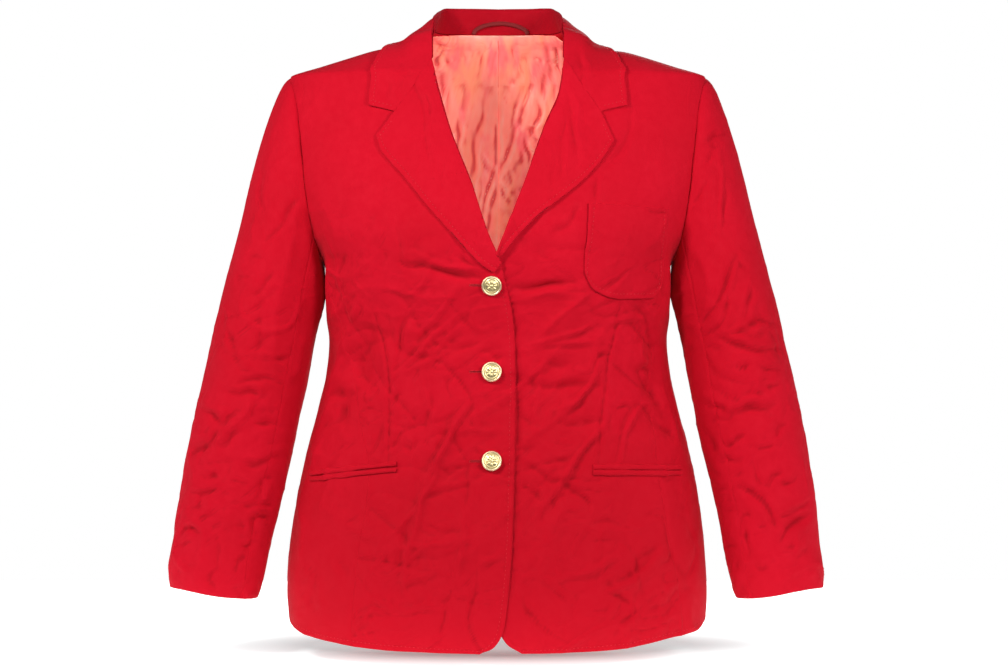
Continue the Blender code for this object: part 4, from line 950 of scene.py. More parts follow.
def line_distance(x, z, line):
    """Signed distance to a line in x and z, how far along it that is, and its length."""
    best = np.full(x.shape, 1e9)
    signed = np.zeros(x.shape)
    along = np.zeros(x.shape)
    start = 0.0
    for a, b in zip(line[:-1], line[1:]):
        step = b - a
        length = math.hypot(*step)
        share = ((x - a[0]) * step[0] + (z - a[1]) * step[1]) / length ** 2
        held = np.clip(share, 0.0, 1.0)
        off_x = x - a[0] - step[0] * held
        off_z = z - a[1] - step[1] * held
        distance = np.hypot(off_x, off_z)
        closer = distance < best
        side = np.where(step[0] * off_z - step[1] * off_x > 0, 1.0, -1.0)
        best = np.where(closer, distance, best)
        signed = np.where(closer, distance * side, signed)
        along = np.where(closer, start + held * length, along)
        start += length
    return signed, along, start


def pointed(distance, spread):
    """A hill with straight sides and a rounded crest, 1 high."""
    point = FOLD_POINT * spread
    away = np.sqrt(distance ** 2 + point ** 2) - point
    return np.exp(-away / (FOLD_REACH * spread))


def fold_heights(x, z, folds):
    """Sum of the folds of a table at x and z."""
    total = np.zeros(x.shape)
    for index, (depth, width, ridge, *line) in enumerate(folds):
        smoothed = smooth_line(np.reshape(line, (-1, 2)), FOLD_CELLS)
        low = smoothed.min(axis=0) - FOLD_ENDS[0] * width
        high = smoothed.max(axis=0) + FOLD_ENDS[0] * width
        near = (x > low[0]) & (x < high[0]) & (z > low[1]) & (z < high[1])
        if not near.any():
            continue
        signed, along, length = line_distance(x[near], z[near], smoothed)
        share = along / length
        used, start, power = FOLD_TAPER
        taper = np.sin(math.pi * np.clip(share * used + start, 0, 1)) ** power
        least, more, by_row, by_place = FOLD_WIDTHS
        spread = width * (least + more * np.sin(by_row * index + share * by_place) ** 2)
        amount, by_row, by_place = FOLD_UNEVEN
        uneven = 1.0 + amount * np.sin(index * by_row + share * by_place)
        amount, by_row, by_place = FOLD_BENDS
        bent = signed + amount * width * np.sin(index * by_row + share * by_place)
        beside = np.sign(ridge) * bent - RIDGE_PLACE * spread
        shape = pointed(bent, spread) - abs(ridge) * pointed(beside, RIDGE_WIDTH * spread)
        ends = fade(np.abs(bent), *(share * width for share in FOLD_ENDS))
        total[near] += depth * uneven * taper * shape * ends
    return total


def dart_heights(points, side):
    """A sewn dart: a sharp groove that fades out at its upper end."""
    line = smooth_line(DART[side], DART_CELLS)
    signed, along, length = line_distance(points[..., 0], points[..., 2], line)
    end = np.clip(np.sin(math.pi * np.clip(along / length, 0.02, 1)) + DART_END, 0, 1)
    groove = bell(signed, 0.0, DART_HALF_WIDTH)
    groove *= 1 + DART_PUCKER[0] * np.sin(along * DART_PUCKER[1])
    rise, place, width = DART_PUFF
    inside = fade(along, 0.0, DART_START) * np.where(along >= length - 0.01, DART_BEYOND, 1.0)
    return DART_DEPTH * (rise * bell(np.abs(signed), place, width) - groove) * inside * end


def crinkle(points, wavelength, seed, angle):
    """Fine broken ridges running mainly one way, from 0 to 1."""
    turn = math.radians(angle)
    along = points[..., 0] * math.cos(turn) + points[..., 2] * math.sin(turn)
    aside = points[..., 2] * math.cos(turn) - points[..., 0] * math.sin(turn)
    points = np.stack([along / CRINKLE_STRETCH, points[..., 1], aside], axis=-1)
    ridges = np.exp(-np.abs(ripple(points, wavelength, seed)) / CRINKLE_WIDTH)
    longer, other = CRINKLE_BREAKS
    return ridges * fade(ripple(points, longer * wavelength, seed + other), *CRINKLE_RANGE)


def ripples(points, table, side=0):
    """Sum of the ripples of a table; a sleeve's or a lapel's differ by its side."""
    return sum(depth * ripple(points, wavelength, seed + side) for depth, wavelength, seed in table)


def crinkles(points, table, side=0):
    """Sum of the crinkles of a table; a sleeve's differ by its side."""
    return sum(depth * crinkle(points, wavelength, seed + side, angle * (side or 1))
               for depth, wavelength, seed, angle in table)


def front_heights(points, normals):
    """How far the body's cloth stands off its plain form."""
    x, z = points[..., 0], points[..., 2]
    facing, behind = (fade(way * normals[..., 1], *BODY_FACING) for way in (-1, 1))
    total = BODY_FOLD_GAIN * facing * fold_heights(x, z, FRONT_FOLDS)
    total += BODY_FOLD_GAIN * behind * fold_heights(x, z, BACK_FOLDS)
    worn = growing(z, *BODY_WORN)
    loose = ripples(points, BODY_RIPPLES)
    loose += crinkles(points, BODY_CRINKLES)
    loose *= worn * growing(np.abs(normals[..., 1]), *BODY_EDGE_ON)
    return total + loose * (BEHIND_LOOSE + (1 - BEHIND_LOOSE) * facing)


def sleeve_heights(points, normals, side):
    """How far a sleeve's cloth stands off its plain form."""
    x, z = points[..., 0], points[..., 2]
    facing, behind = (fade(way * normals[..., 1], *SLEEVE_FACING) for way in (-1, 1))
    total = facing * fold_heights(x, z, SLEEVE_FOLDS[side])
    total += behind * fold_heights(x * side, z, SLEEVE_BACK_FOLDS)
    worn = growing(z, *SLEEVE_WORN)
    loose = ripples(points, SLEEVE_RIPPLES, side)
    loose += crinkles(points, SLEEVE_CRINKLES, side)
    loose *= worn * growing(np.abs(normals[..., 1]), *SLEEVE_EDGE_ON)
    return total * SLEEVE_FOLD_GAIN + loose


def faced_out(grid, side):
    """Run the columns the way that makes the outer face look outwards."""
    return grid if side > 0 else grid[:, ::-1]


def on_figure(pairs, side):
    return faced_out(torso(pairs[..., 0], pairs[..., 1]), side)


def rows_of(pairs, cell):
    """Places between the indices of a line of pairs, about a cell apart."""
    along = run_length(torso(pairs[:, 0], pairs[:, 1]))
    count = max(2, int(round(along[-1] / cell)))
    return np.interp(np.linspace(0, along[-1], count + 1), along, np.arange(len(pairs)))


def panel_pairs(first, last, rows, cell):
    """Fill the cloth between two edges and let its first row follow the hem."""
    ends = [torso(line[:, 0], line[:, 1]) for line in (first, last)]
    count = int(np.linalg.norm(ends[0] - ends[1], axis=-1).max() / cell)
    pairs = between(finer(first, rows)[:, None], finer(last, rows)[:, None], count)
    shift = smooth(HEM, 1, np.abs(pairs[0, :, 0])) - pairs[0, :, 1]
    share = np.clip(1.0 - rows / HEM_BLEND_ROWS, 0.0, 1.0) ** 2
    pairs[..., 1] += share[:, None] * shift[None, :]
    return pairs


def seam_pairs(angle, armhole, side):
    """A seam of a side panel, by body row, from the hem to the armhole."""
    pairs = np.stack([angle, level_of(BODY_ROWS[:, 0])], axis=-1)
    pairs[-1] = side_pairs(armhole[:1], side)[0]
    pairs[0, 1] = smooth(HEM, 1, abs(pairs[0, 0]))
    return pairs


def front_seam_pairs(side):
    x = smooth(SIDE_SEAM[side], 1, BODY_ROWS[:, 0])
    return seam_pairs(front_angle(x, BODY_ROWS[:, 0]), ARMHOLE_FRONT, side)


def back_seam_pairs(side):
    pairs = seam_pairs(side * smooth(BACK_SIDE_SEAM, 1, BODY_ROWS[:, 0]), ARMHOLE_BACK, side)
    pairs[1, 1] = (pairs[0, 1] + pairs[2, 1]) / 2
    return pairs


def front_grid(side):
    neck = mirrored(NECK_SEAM[:NECK_POINT - 1:-1], side)
    inner = np.concatenate([front_pairs(FRONT_EDGE[side]), front_pairs(ROLL[side])[1:-1], neck])
    outer = np.concatenate([front_seam_pairs(side), side_pairs(ARMHOLE_FRONT, side)[1:]])
    rows = rows_of(outer, FRONT_CELL)
    grid = on_figure(panel_pairs(inner, outer, rows, FRONT_CELL), side)
    if side > 0:
        share = 1.0 - fade(grid[..., 0], *LAP_X)
        grid[..., 1] += np.where(grid[..., 2] > 0, 0.0, share) * LAP_DEPTH
    return grid


def back_grid(side, cell, first_row=0.0):
    """A back.  The lining of one begins at a higher row and is coarse low down."""
    levels = np.concatenate([level_of(BODY_ROWS[:, 1]), CENTRE_BACK_LEVELS])
    centre = np.stack([180.0 * side + 0 * levels, levels], axis=-1)
    inner = np.concatenate([centre, mirrored(NECK_SEAM[:NECK_POINT + 1], side)])
    outer = np.concatenate([back_seam_pairs(side), side_pairs(ARMHOLE_BACK, side)[1:]])
    rows = rows_of(outer, cell)
    rows = rows[rows >= first_row]
    if first_row:
        shown = finer(outer, rows)[:, 1] > FINE_LINING_FROM
        rows = rows[shown | (np.arange(len(rows)) % COARSE_ROWS == 0)]
    return on_figure(panel_pairs(outer, inner, rows, cell), side)


def side_grid(side):
    first = front_seam_pairs(side)
    rows = rows_of(first, PANEL_CELL)
    pairs = panel_pairs(first, back_seam_pairs(side), rows, PANEL_CELL)
    foot = side_pairs(ARMHOLE_UNDER, side)
    sag = finer(foot, np.linspace(0, len(foot) - 1, pairs.shape[1])) - pairs[-1]
    top = len(BODY_ROWS)
    share = np.interp(rows, np.arange(top - len(FOOT_SAG), top), FOOT_SAG)
    return on_figure(pairs + share[:, None, None] * sag[None], side)


def sleeve_ring(z, turn):
    """Ring of the sleeve at a height, for the wearer's left."""
    above, below = (np.array([smooth(SLEEVE, 1, at), 0.0, at]) for at in (z + AXIS_STEP, z - AXIS_STEP))
    axis = unit(below - above)
    outward = np.array([-axis[2], 0.0, axis[0]])
    x, y, wide, deep = (smooth(SLEEVE, column, z) for column in range(1, 5))
    ring = np.array([x, y, z]) + np.cos(turn)[:, None] * outward * wide
    return ring - np.sin(turn)[:, None] * np.array([0.0, 1.0, 0.0]) * deep


def sleeve_grid(side, first, last, cell):
    """Part of a sleeve, between two places round it, from the armhole down."""
    loop = side_pairs(np.concatenate([ARMHOLE_FRONT[::-1], ARMHOLE_UNDER[1:], ARMHOLE_BACK[1:]]), 1)
    around = len(SLEEVE_ANGLES) - 1
    quarter = sleeve_ring(GIRTH_AT, np.radians([0.0, 90.0]))
    girth = 2 * math.pi * np.linalg.norm(quarter[0] - quarter[1]) / math.sqrt(2)
    count = int(girth * (last - first) / around / cell)
    places = np.linspace(first, last, count + 1) % around
    turn = np.radians(np.interp(places, np.arange(around + 1), SLEEVE_ANGLES))
    pairs = finer(loop, places)
    armhole = torso(pairs[:, 0], pairs[:, 1])
    heights = np.append(np.arange(SLEEVE[0, 0], SLEEVE[-1, 0] - 0.1, -cell)[:-1], SLEEVE[-1, 0])
    rings = [sleeve_ring(z, turn) for z in heights]
    whole = sleeve_ring(SLEEVE[0, 0], np.radians(SLEEVE_ANGLES[:-1]))
    away = unit(rings[0] - whole.mean(axis=0))
    fullness = HEAD_FULLNESS * np.clip((np.cos(turn) + HEAD_UNDER) / (1 + HEAD_UNDER), 0.0, 1.0)
    head = []
    for share in np.linspace(0.0, 1.0, HEAD_CELLS + 1)[:-1] ** HEAD_CROWDING:
        swell = (1 - math.exp(-share / HEAD_ROUNDNESS)) * (1 - share)
        ring = armhole * (1 - share) + rings[0] * share
        head.append(ring + away * (fullness * swell)[:, None])
    grid = np.stack(head + rings)
    for _ in range(HEAD_SMOOTHINGS):
        soft = (grid[:-2] + grid[2:]) / 2
        weight = fade(np.arange(1, len(grid) - 1.0), *HEAD_SMOOTH_ROWS)[:, None, None]
        grid[1:-1] += (soft - grid[1:-1]) * weight
    return faced_out(grid * np.array([side, 1.0, 1.0]), side)


def clear_of_torso(points, lift):
    """Push points out until they stand at least a lift off the figure."""

    def ratio(p):
        level = level_of(p[..., 2])
        power = smooth(TORSO, 4, level)
        wide = (np.abs(p[..., 0]) / smooth(TORSO, 1, level)) ** power
        deep = (np.abs(p[..., 1]) / depth_at(level, p[..., 1] < 0)) ** power
        return (wide + deep) ** (1 / power) - 1

    points = points.copy()
    for _ in range(PUSHES):
        here = ratio(points)
        slope = np.stack([ratio(points + step) - ratio(points - step) for step in np.eye(3) / 2], axis=-1)
        size = np.maximum(np.linalg.norm(slope, axis=-1), 1e-6)
        push = np.clip(lift - here / size, 0.0, LARGEST_PUSH)
        points += slope / size[..., None] * push[..., None]
    return points


def gorge_line(side, cells):
    """The gorge seam, from the fold out to the notch, on the lapel's surface."""
    line = mirrored(resampled([GORGE_START, NOTCH], cells), side)
    return on_front(line, finer(LAPEL_LIFTS, np.linspace(0, GORGE_PLACE, cells + 1)))


def collar_edge_angle(k):
    """Angle round the neck of the collar's outer edge."""
    turned = front_angle(COLLAR_EDGE[:, 0], COLLAR_EDGE[:, 1])
    angles = np.where(np.arange(len(turned)) > NECK_POINT, turned, 180 - turned)
    angles[NECK_POINT] = 90.0
    return finer(angles, [k])[0]


def collar_line(side, k):
    """Neck seam, as angle and level, and the point of the fold above it."""
    return mirrored(finer(NECK_SEAM, [k])[0], side), finer(COLLAR_FOLD, [k])[0] * np.array([side, 1, 1])


def leaf_path(side, k):
    """From the fold straight down to the edge of the collar leaf."""
    seam, fold = collar_line(side, k)
    out = unit(torso_normal(*seam) * np.array([1.0, 1.0, 0.0]))
    start = fold + out * LEAF_START_OUT + np.array([0.0, 0.0, LEAF_START_UP])
    level = level_of(finer(COLLAR_EDGE, [k])[0, 1])
    return between(start, lifted(side * collar_edge_angle(k), level, LEAF_CLEARANCE), LEAF_CELLS)


def collar_places():
    """Columns of the collar: the side, and the place in the collar tables."""
    last = len(NECK_SEAM) - 1
    half = np.linspace(0, last, int(last / COLLAR_STEP) + 1)
    return [(-1, k) for k in half[:0:-1]] + [(1, k) for k in half]


def leaf_grid():
    """The collar leaf; its ends turn down along the gorge seams."""
    last = len(NECK_SEAM) - 1
    gorge_cells = round(LEAF_CELLS * GORGE_PLACE / (len(LAPEL_LIFTS) - 1))
    bend = {}
    for side, _ in SIDES:
        path = leaf_path(side, last)
        gorge = gorge_line(side, gorge_cells)
        tip = between(gorge[-1], path[-1], LEAF_CELLS - gorge_cells)[1:]
        bend[side] = np.concatenate([gorge, tip]) - path
    columns = []
    for side, k in collar_places():
        share = max(0.0, 1 - (last - k) / BEND_REACH) ** 2
        path = leaf_path(side, k) + bend[side] * share
        columns.append(path if k == last else clear_of_torso(path, LEAF_CLEARANCE))
    return np.stack(columns, axis=1)


def stand_grid():
    """The collar stand, from the neck seam up to the fold."""
    columns = []
    for side, k in collar_places():
        seam, fold = collar_line(side, k)
        columns.append(between(torso(*seam), fold, STAND_CELLS))
    return np.stack(columns[::-1], axis=1)


def lapel_grid(side):
    """A lapel, from its roll line out to its edge."""
    places = len(LAPEL_LIFTS) - 1
    columns = int(LAPEL_WIDTH / LAPEL_CELL)
    rows = int(run_length(LAPEL_EDGE[side])[-1] / LAPEL_CELL)
    gorge_cells = round(columns * GORGE_PLACE / places)
    notch = resampled([NOTCH, LAPEL_TIP[side]], columns - gorge_cells)
    top = mirrored(np.concatenate([resampled([GORGE_START, NOTCH], gorge_cells), notch[1:]]), side)
    left = smooth_line(np.concatenate([LAPEL_ROLL[side][:-1], top[:1]]), rows)
    right = smooth_line(np.concatenate([LAPEL_EDGE[side][:-1], top[-1:]]), rows)
    flat = coons(resampled([left[0], right[0]], columns), top, left, right)
    return faced_out(on_front(flat, finer(LAPEL_LIFTS, np.linspace(0, places, columns + 1))), side)


def patch_grid():
    """The breast pocket, laid on the front it is sewn to."""
    lines = (PATCH_BOTTOM, PATCH_TOP, PATCH_LEFT[::-1], PATCH_RIGHT[::-1])
    return on_front(coons(*(smooth_line(line, PATCH_CELLS) for line in lines)), PATCH_LIFT + PATCH_CLOTH)


def welt_grid(side, low, high):
    """One welt of a jetted pocket, round in section."""
    line = smooth_line(SLIT[side], WELT_COLUMNS)
    rows = []
    for share in np.linspace(0.0, 1.0, WELT_ROWS + 1):
        bulge = WELT_BULGE * math.sin(math.pi * share) ** WELT_ROUNDNESS
        rise = np.array([0.0, low + (high - low) * share])
        rows.append(on_front(line + rise, WELT_LIFT + WELT_CLOTH - WELT_SUNK + bulge))
    return faced_out(np.stack(rows), side)


def brought(values, edge):
    """Values over a grid with one of its edges brought to its first column."""
    if edge in ("bottom", "top"):
        values = values.swapaxes(0, 1)
    return values[:, ::-1] if edge in ("last", "top") else values


def put_back(values, edge):
    if edge in ("last", "top"):
        values = values[:, ::-1]
    return values.swapaxes(0, 1) if edge in ("bottom", "top") else values


def edge_distance(grid, edge):
    """Distance of every point from one edge of its grid, along the grid."""
    return put_back(run_length(brought(grid, edge).swapaxes(0, 1)).T, edge)


def pressed_edge(grid, edge):
    """Relief of an edge that is stitched down a little inside it."""
    distance = edge_distance(grid, edge)
    puff = bell(distance, STITCH_INSET * PUFF_PLACE, STITCH_INSET * PUFF_WIDTH)
    return EDGE_PUFF * puff - STITCH_SINK * bell(distance, STITCH_INSET, GROOVE_WIDTH)


def inset_line(grid, normals, edge):
    """Points and normals of the line that is stitched inside an edge."""
    grid, normals = brought(grid, edge), brought(normals, edge)
    line = []
    for points, ups, away in zip(grid, normals, edge_distance(grid, "first")):
        values = np.concatenate([points, ups], axis=1)
        line.append([np.interp(STITCH_INSET, away, column) for column in values.T])
    line = np.array(line)
    return line[:, :3], line[:, 3:]


def curl(grid, normals, thickness, edge, radius, degrees):
    """Roll an edge over: extra points round a small circle beyond it."""
    whole = [brought(values, edge) for values in (grid, normals, thickness)]
    grid, normals, thickness = whole
    out = unit(grid[:, 0] - grid[:, 2])
    up = normals[:, 0]
    parts = [[], [], []]
    for step in range(CURL_CELLS, 0, -1):
        share = step / CURL_CELLS
        angle = math.radians(degrees) * share
        normal = up * math.cos(angle) + out * math.sin(angle)
        parts[0].append(grid[:, 0] - up * radius + normal * radius)
        parts[1].append(normal)
        parts[2].append(thickness[:, 0] * (1 - share) + CURL_THIN * share)
    return [put_back(np.concatenate([np.stack(part, axis=1), values], axis=1), edge)
            for part, values in zip(parts, whole)]


def drawn_in(grid, gaps):
    """Shorten the outermost cells: bottom, top, first, last."""
    grid = grid.copy()
    for edge, amount in zip(EDGES, gaps):
        points = brought(grid, edge)
        points[:, 0] += unit(points[:, 1] - points[:, 0]) * amount
    return grid


def shell(name, grid, normals, thickness, gaps, rounds):
    """A thin wall with rounded edges.  The grid is its outer face; gaps and
    rounds are for its bottom, top, first and last edges."""
    grid = drawn_in(grid, gaps)
    rows, columns = grid.shape[:2]
    inward = np.zeros_like(grid)
    radius = np.full((rows, columns), WIDEST_ROUND)
    for edge, size in zip(EDGES, rounds):
        points, push, least = (brought(values, edge) for values in (grid, inward, radius))
        push[:, 0] += unit(points[:, 1] - points[:, 0])
        least[:, 0] = np.minimum(least[:, 0], size)
    thickness = np.broadcast_to(thickness, (rows, columns)).reshape(-1, 1)
    flat, normal = grid.reshape(-1, 3), normals.reshape(-1, 3)
    index = np.arange(rows * columns).reshape(rows, columns)
    border = np.concatenate([index[0], index[1:, -1], index[-1, -2::-1], index[-2:0:-1, 0]])
    size, deep = radius.reshape(-1, 1)[border], thickness[border]
    push = inward.reshape(-1, 3)[border]
    outer = flat.copy()
    outer[border] += push * size
    rings = []
    for along, down, below in EDGE_SECTION:
        depth = size * down + below * (deep - 2 * size * down)
        rings.append(flat[border] + push * size * along - normal[border] * depth)
    points = np.vstack([outer] + rings + [outer - normal * thickness])
    cell = index[:-1, :-1].reshape(-1)
    quads = np.stack([cell, cell + 1, cell + columns + 1, cell + columns], axis=1)
    last = index.size + len(rings) * len(border)
    faces = [quads, quads[:, ::-1] + last]
    levels = np.arange(index.size, last).reshape(len(rings), -1)
    levels = np.vstack([border, levels, border + last])
    for high, low in zip(levels[:-1], levels[1:]):
        faces.append(np.stack([np.roll(high, -1), high, low, np.roll(low, -1)], axis=1))
    uv = np.stack([edge_distance(grid, edge).reshape(-1) for edge in ("first", "bottom")], axis=1)
    uv = np.vstack([uv] + [uv[border]] * len(rings) + [uv]) / WEAVE_SCALE
    return new_mesh(name, points, np.vstack(faces), uv)


def ring_faces(rings, sides):
    """Faces between rings of points, each ring closed round."""
    here = np.arange((rings - 1) * sides).reshape(-1, sides)
    after = np.roll(here, -1, axis=1)
    return np.stack([here, after, after + sides, here + sides], axis=-1).reshape(-1, 4)


def fitted(points):
    """Points moved by the fit table."""
    points = np.array(points, dtype=float)
    x, z = points[:, 0].copy(), points[:, 2].copy()
    for middle_x, middle_z, wide, high, across_by, up_by in FIT_MOVES:
        share = np.exp(-(((x - middle_x) / wide) ** 2 + ((z - middle_z) / high) ** 2))
        points[:, 0] += across_by * share
        points[:, 2] += up_by * share
    return points


def new_mesh(name, points, faces, uv=None):
    mesh = bpy.data.meshes.new(name)
    faces = np.asarray(faces, dtype=np.int32)
    mesh.vertices.add(len(points))
    mesh.vertices.foreach_set("co", (fitted(points) * MM).astype(np.float32).reshape(-1))
    mesh.loops.add(faces.size)
    mesh.loops.foreach_set("vertex_index", faces.reshape(-1))
    mesh.polygons.add(len(faces))
    starts = np.arange(0, faces.size, faces.shape[1], dtype=np.int32)
    mesh.polygons.foreach_set("loop_start", starts)
    mesh.update(calc_edges=True)
    mesh.validate()
    mesh.shade_smooth()
    if uv is not None:
        layer = mesh.uv_layers.new(name=WEAVE_UV)
        layer.data.foreach_set("uv", uv[faces.reshape(-1)].astype(np.float32).reshape(-1))
    piece = bpy.data.objects.new(name, mesh)
    bpy.context.scene.collection.objects.link(piece)
    return piece


def add_piece(piece, material, slot, nodes=()):
    """Tie a piece to its body, the nodes it stands for and its finish."""
    piece.data.materials.append(material)
    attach(piece, BODY)
    if nodes:
        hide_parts(*nodes)
    return piece


def add_cloth(name, piece, grid, finish):
    """Tie a cut piece to its node; the flat cut of its plain form is worked out in metres but not kept."""
    add_piece(piece, *finish, (name,))
    width, length = (max(run_length(lines)[-1].max(), LEAST_CUT) * MM
                     for lines in (grid.swapaxes(0, 1), grid))


def add_sheet(name, grid, normals, heights, thickness, gaps, rounds, finish):
    """A cloth piece: its form, moved out by its folds, and its flat cut."""
    laid = grid + normals * heights[..., None]
    piece = shell(name + "_cloth", laid, normals, thickness, gaps, rounds)
    add_cloth(name, piece, grid, finish)
    return laid


def add_rolled(name, grid, normals, heights, thickness, gaps, rounds, fold, roll, finish):
    """A piece that folds over along one edge, where it is rolled round."""
    laid = drawn_in(grid + normals * heights[..., None], gaps)
    rolled = curl(laid, normals, np.full(grid.shape[:2], thickness), fold, *roll)
    piece = shell(name + "_cloth", *rolled, [0.0] * 4, rounds)
    add_cloth(name, piece, grid, finish)
    return laid


def stitch_mesh(name, lines, material, slot, length, pitch, radius, sink):
    """Short stitches along lines that lie on the cloth; each is a small capsule."""
    points = []
    turns = np.arange(STITCH_SIDES)[:, None] * 2 * math.pi / STITCH_SIDES
    for line, normals in lines:
        along = run_length(line)
        for place in np.arange(pitch / 2, along[-1] - pitch / 2, pitch):
            first, last = (np.array([np.interp(place + way * length / 2, along, column) for column in line.T])
                           for way in (-1, 1))
            up = unit(normals[min(np.searchsorted(along, place), len(line) - 1)])
            ring = np.cross(unit(last - first), up) * np.cos(turns) + up * np.sin(turns)
            for share, size, rise in STITCH_SECTION:
                middle = first * (1 - share) + last * share + up * (radius * rise - sink)
                points.append(middle + ring * radius * size)
    points = np.concatenate(points)
    one = ring_faces(len(STITCH_SECTION), STITCH_SIDES)
    starts = np.arange(0, len(points), len(STITCH_SECTION) * STITCH_SIDES)
    piece = new_mesh(name, points, (starts[:, None, None] + one).reshape(-1, 4))
    return add_piece(piece, material, slot)


def front_point(x, z, lift):
    """Points and normals on the outside of the fronts, with their folds."""
    angle, level = front_angle(x, z), level_of(z)
    points, normals = torso(angle, level), torso_normal(angle, level)
    heights = front_heights(points, normals) + lift
    return points + normals * heights[..., None], normals


def face_height(radius, turn):
    """Relief on a button's face: a bead ring round a rosette of petals."""
    bead, bead_radius, bead_width = FACE_BEAD
    rise, start, reach, fullness = PETAL
    depth, sharpness = VEIN
    height, middle_radius = FACE_MIDDLE
    dome = FACE_RISE * (1 - (radius / FACE_RADIUS) ** 2)
    petal = np.abs(np.cos(PETALS / 2 * turn)) ** fullness
    body = np.clip(np.sin(math.pi * np.clip((radius - start) / reach, 0, 1)), 0, 1)
    vein = depth * np.abs(np.cos(PETALS * turn)) ** sharpness * body
    middle = height * np.sqrt(np.clip(1 - (radius / middle_radius) ** 2, 0, 1))
    ring = bead * bell(radius, bead_radius, bead_width)
    return FACE_EDGE_HEIGHT + dome + ring + rise * petal * body - vein + middle


def build_button(name, z, metal, rim):
    origin, axis = front_point(BUTTON_X, z, 0.0)
    right = unit(np.cross(axis, np.array([0.0, 0.0, 1.0])))
    up = np.cross(right, axis)
    turn = np.arange(BUTTON_SEGMENTS) * 2 * math.pi / BUTTON_SEGMENTS
    outline = finer(BUTTON_PROFILE, np.linspace(0, len(BUTTON_PROFILE) - 1, PROFILE_CELLS))
    spoke = np.cos(turn)[:, None] * right + np.sin(turn)[:, None] * up
    rope, rope_radius, rope_width = RIM_ROPE
    rings = []
    for radius, height in outline:
        raised = rope * bell(radius, rope_radius, rope_width) * (height > RIM_FROM)
        rings.append((radius, height + raised * np.cos(RIM_STRANDS * turn + radius * RIM_TWIST)))
    for radius in np.linspace(FACE_RADIUS, FACE_HOLE, FACE_RINGS)[1:]:
        rings.append((radius, face_height(radius, turn)))
    points = np.concatenate([origin + spoke * radius + axis * height[:, None] for radius, height in rings])
    faces = ring_faces(len(rings), BUTTON_SEGMENTS)[:, [1, 0, 3, 2]]
    piece = add_piece(new_mesh(name + "_face", points, faces), metal, "gold_metal", (name,))
    piece.data.materials.append(rim)
    on_rim = np.arange(len(faces)) < (len(outline) - 1) * BUTTON_SEGMENTS
    piece.data.polygons.foreach_set("material_index", on_rim.astype(np.int32))


def build_buttonholes(thread, dark):
    edges, slits = [], []
    along, over = HOLE_POINTS
    lift, slit_lift = HOLE_LIFTS
    beyond, half = HOLE_END
    x = np.linspace(*HOLE_X, along)
    end = np.linspace(-half, half, over)
    for z in BUTTON_HEIGHTS.values():
        edges += [front_point(x, z + rise + 0 * x, lift) for rise in (-HOLE_HALF, HOLE_HALF)]
        edges.append(front_point(HOLE_X[0] - beyond + 0 * end, z + end, lift))
        slits.append(front_point(x[1:-1], z + 0 * x[1:-1], slit_lift))
    stitch_mesh("buttonholes", edges, thread, "red_suiting", *HOLE_STITCH)
    # The slits are a dark line of capsules: painted shade in the cut
    stitch_mesh("buttonhole_slits", slits, dark, "red_suiting", *SLIT_SHADE_CAPSULES)


def build_hanger(finish):
    line = smooth_line(HANGER, HANGER_RINGS)
    _, wide, _, deep, power = TORSO[TORSO[:, 0] == SLOPE_TOP_LEVEL][0]
    y = deep * (1 - (np.abs(line[:, 0]) / wide) ** power) ** (1 / power) - HANGER_INSET
    y = y - (line[:, 1] - line[0, 1]) * STAND_LEAN
    centre = np.stack([line[:, 0], y, line[:, 1]], axis=-1)
    along = unit(np.gradient(centre, axis=0))
    wide = unit(np.cross(along, np.array([0.0, 1.0, 0.0])))
    thick = np.cross(wide, along)
    turn = (np.arange(HANGER_SIDES) * 2 * math.pi / HANGER_SIDES)[None]
    slant = np.abs(np.cos(turn)) * BRAID_SLANT
    phase = 2 * math.pi * (run_length(centre)[:, None] / BRAID_PITCH) + slant * math.pi
    plait = 1 + BRAID_PLAIT * np.cos(phase)
    side_step = np.cos(turn) * HANGER_WIDTH / 2 * (1 + BRAID_WIDENS * (plait - 1))
    through = np.sin(turn) * HANGER_THICKNESS / 2 * plait * BRAID_SWELL
    points = centre[:, None] + wide[:, None] * side_step[..., None]
    points = (points + thick[:, None] * through[..., None]).reshape(-1, 3)
    step = np.arange(HANGER_SIDES // 2 - 1)
    cap = np.stack([step, step + 1, HANGER_SIDES - 2 - step, HANGER_SIDES - 1 - step], axis=-1)
    faces = [ring_faces(len(centre), HANGER_SIDES), cap[:, ::-1], cap + (len(centre) - 1) * HANGER_SIDES]
    piece = new_mesh("hanger_loop_braid", points, np.vstack(faces))
    add_piece(piece, finish, "dark_braid", ("hanger_loop",))


def feed(tree, node, values):
    """Set the inputs of a node, or link those that come from another node."""
    for key, value in values.items():
        if isinstance(value, bpy.types.NodeSocket):
            tree.links.new(value, node.inputs[key])
        else:
            node.inputs[key].default_value = value


def new_material(name, colour, roughness, metallic=0.0):
    material = bpy.data.materials.new(name)
    material.use_nodes = True
    tree = material.node_tree
    shader = tree.nodes["Principled BSDF"]
    feed(tree, shader, {"Base Color": colour, "Roughness": roughness, "Metallic": metallic})
    return material, tree, shader


def add_node(tree, kind, settings=None, **inputs):
    node = tree.nodes.new("ShaderNode" + kind)
    for key, value in (settings or {}).items():
        setattr(node, key, value)
    feed(tree, node, {key.replace("_", " "): value for key, value in inputs.items()})
    return node


def operation(tree, kind, name, *values):
    """A math node with its inputs in order."""
    node = add_node(tree, kind, {"operation": name})
    feed(tree, node, dict(enumerate(values)))
    return node.outputs


def ranged(tree, value, low, high, to_low, to_high):
    node = add_node(tree, "MapRange", None, Value=value, From_Min=low, From_Max=high,
                    To_Min=to_low, To_Max=to_high)
    return node.outputs[0]


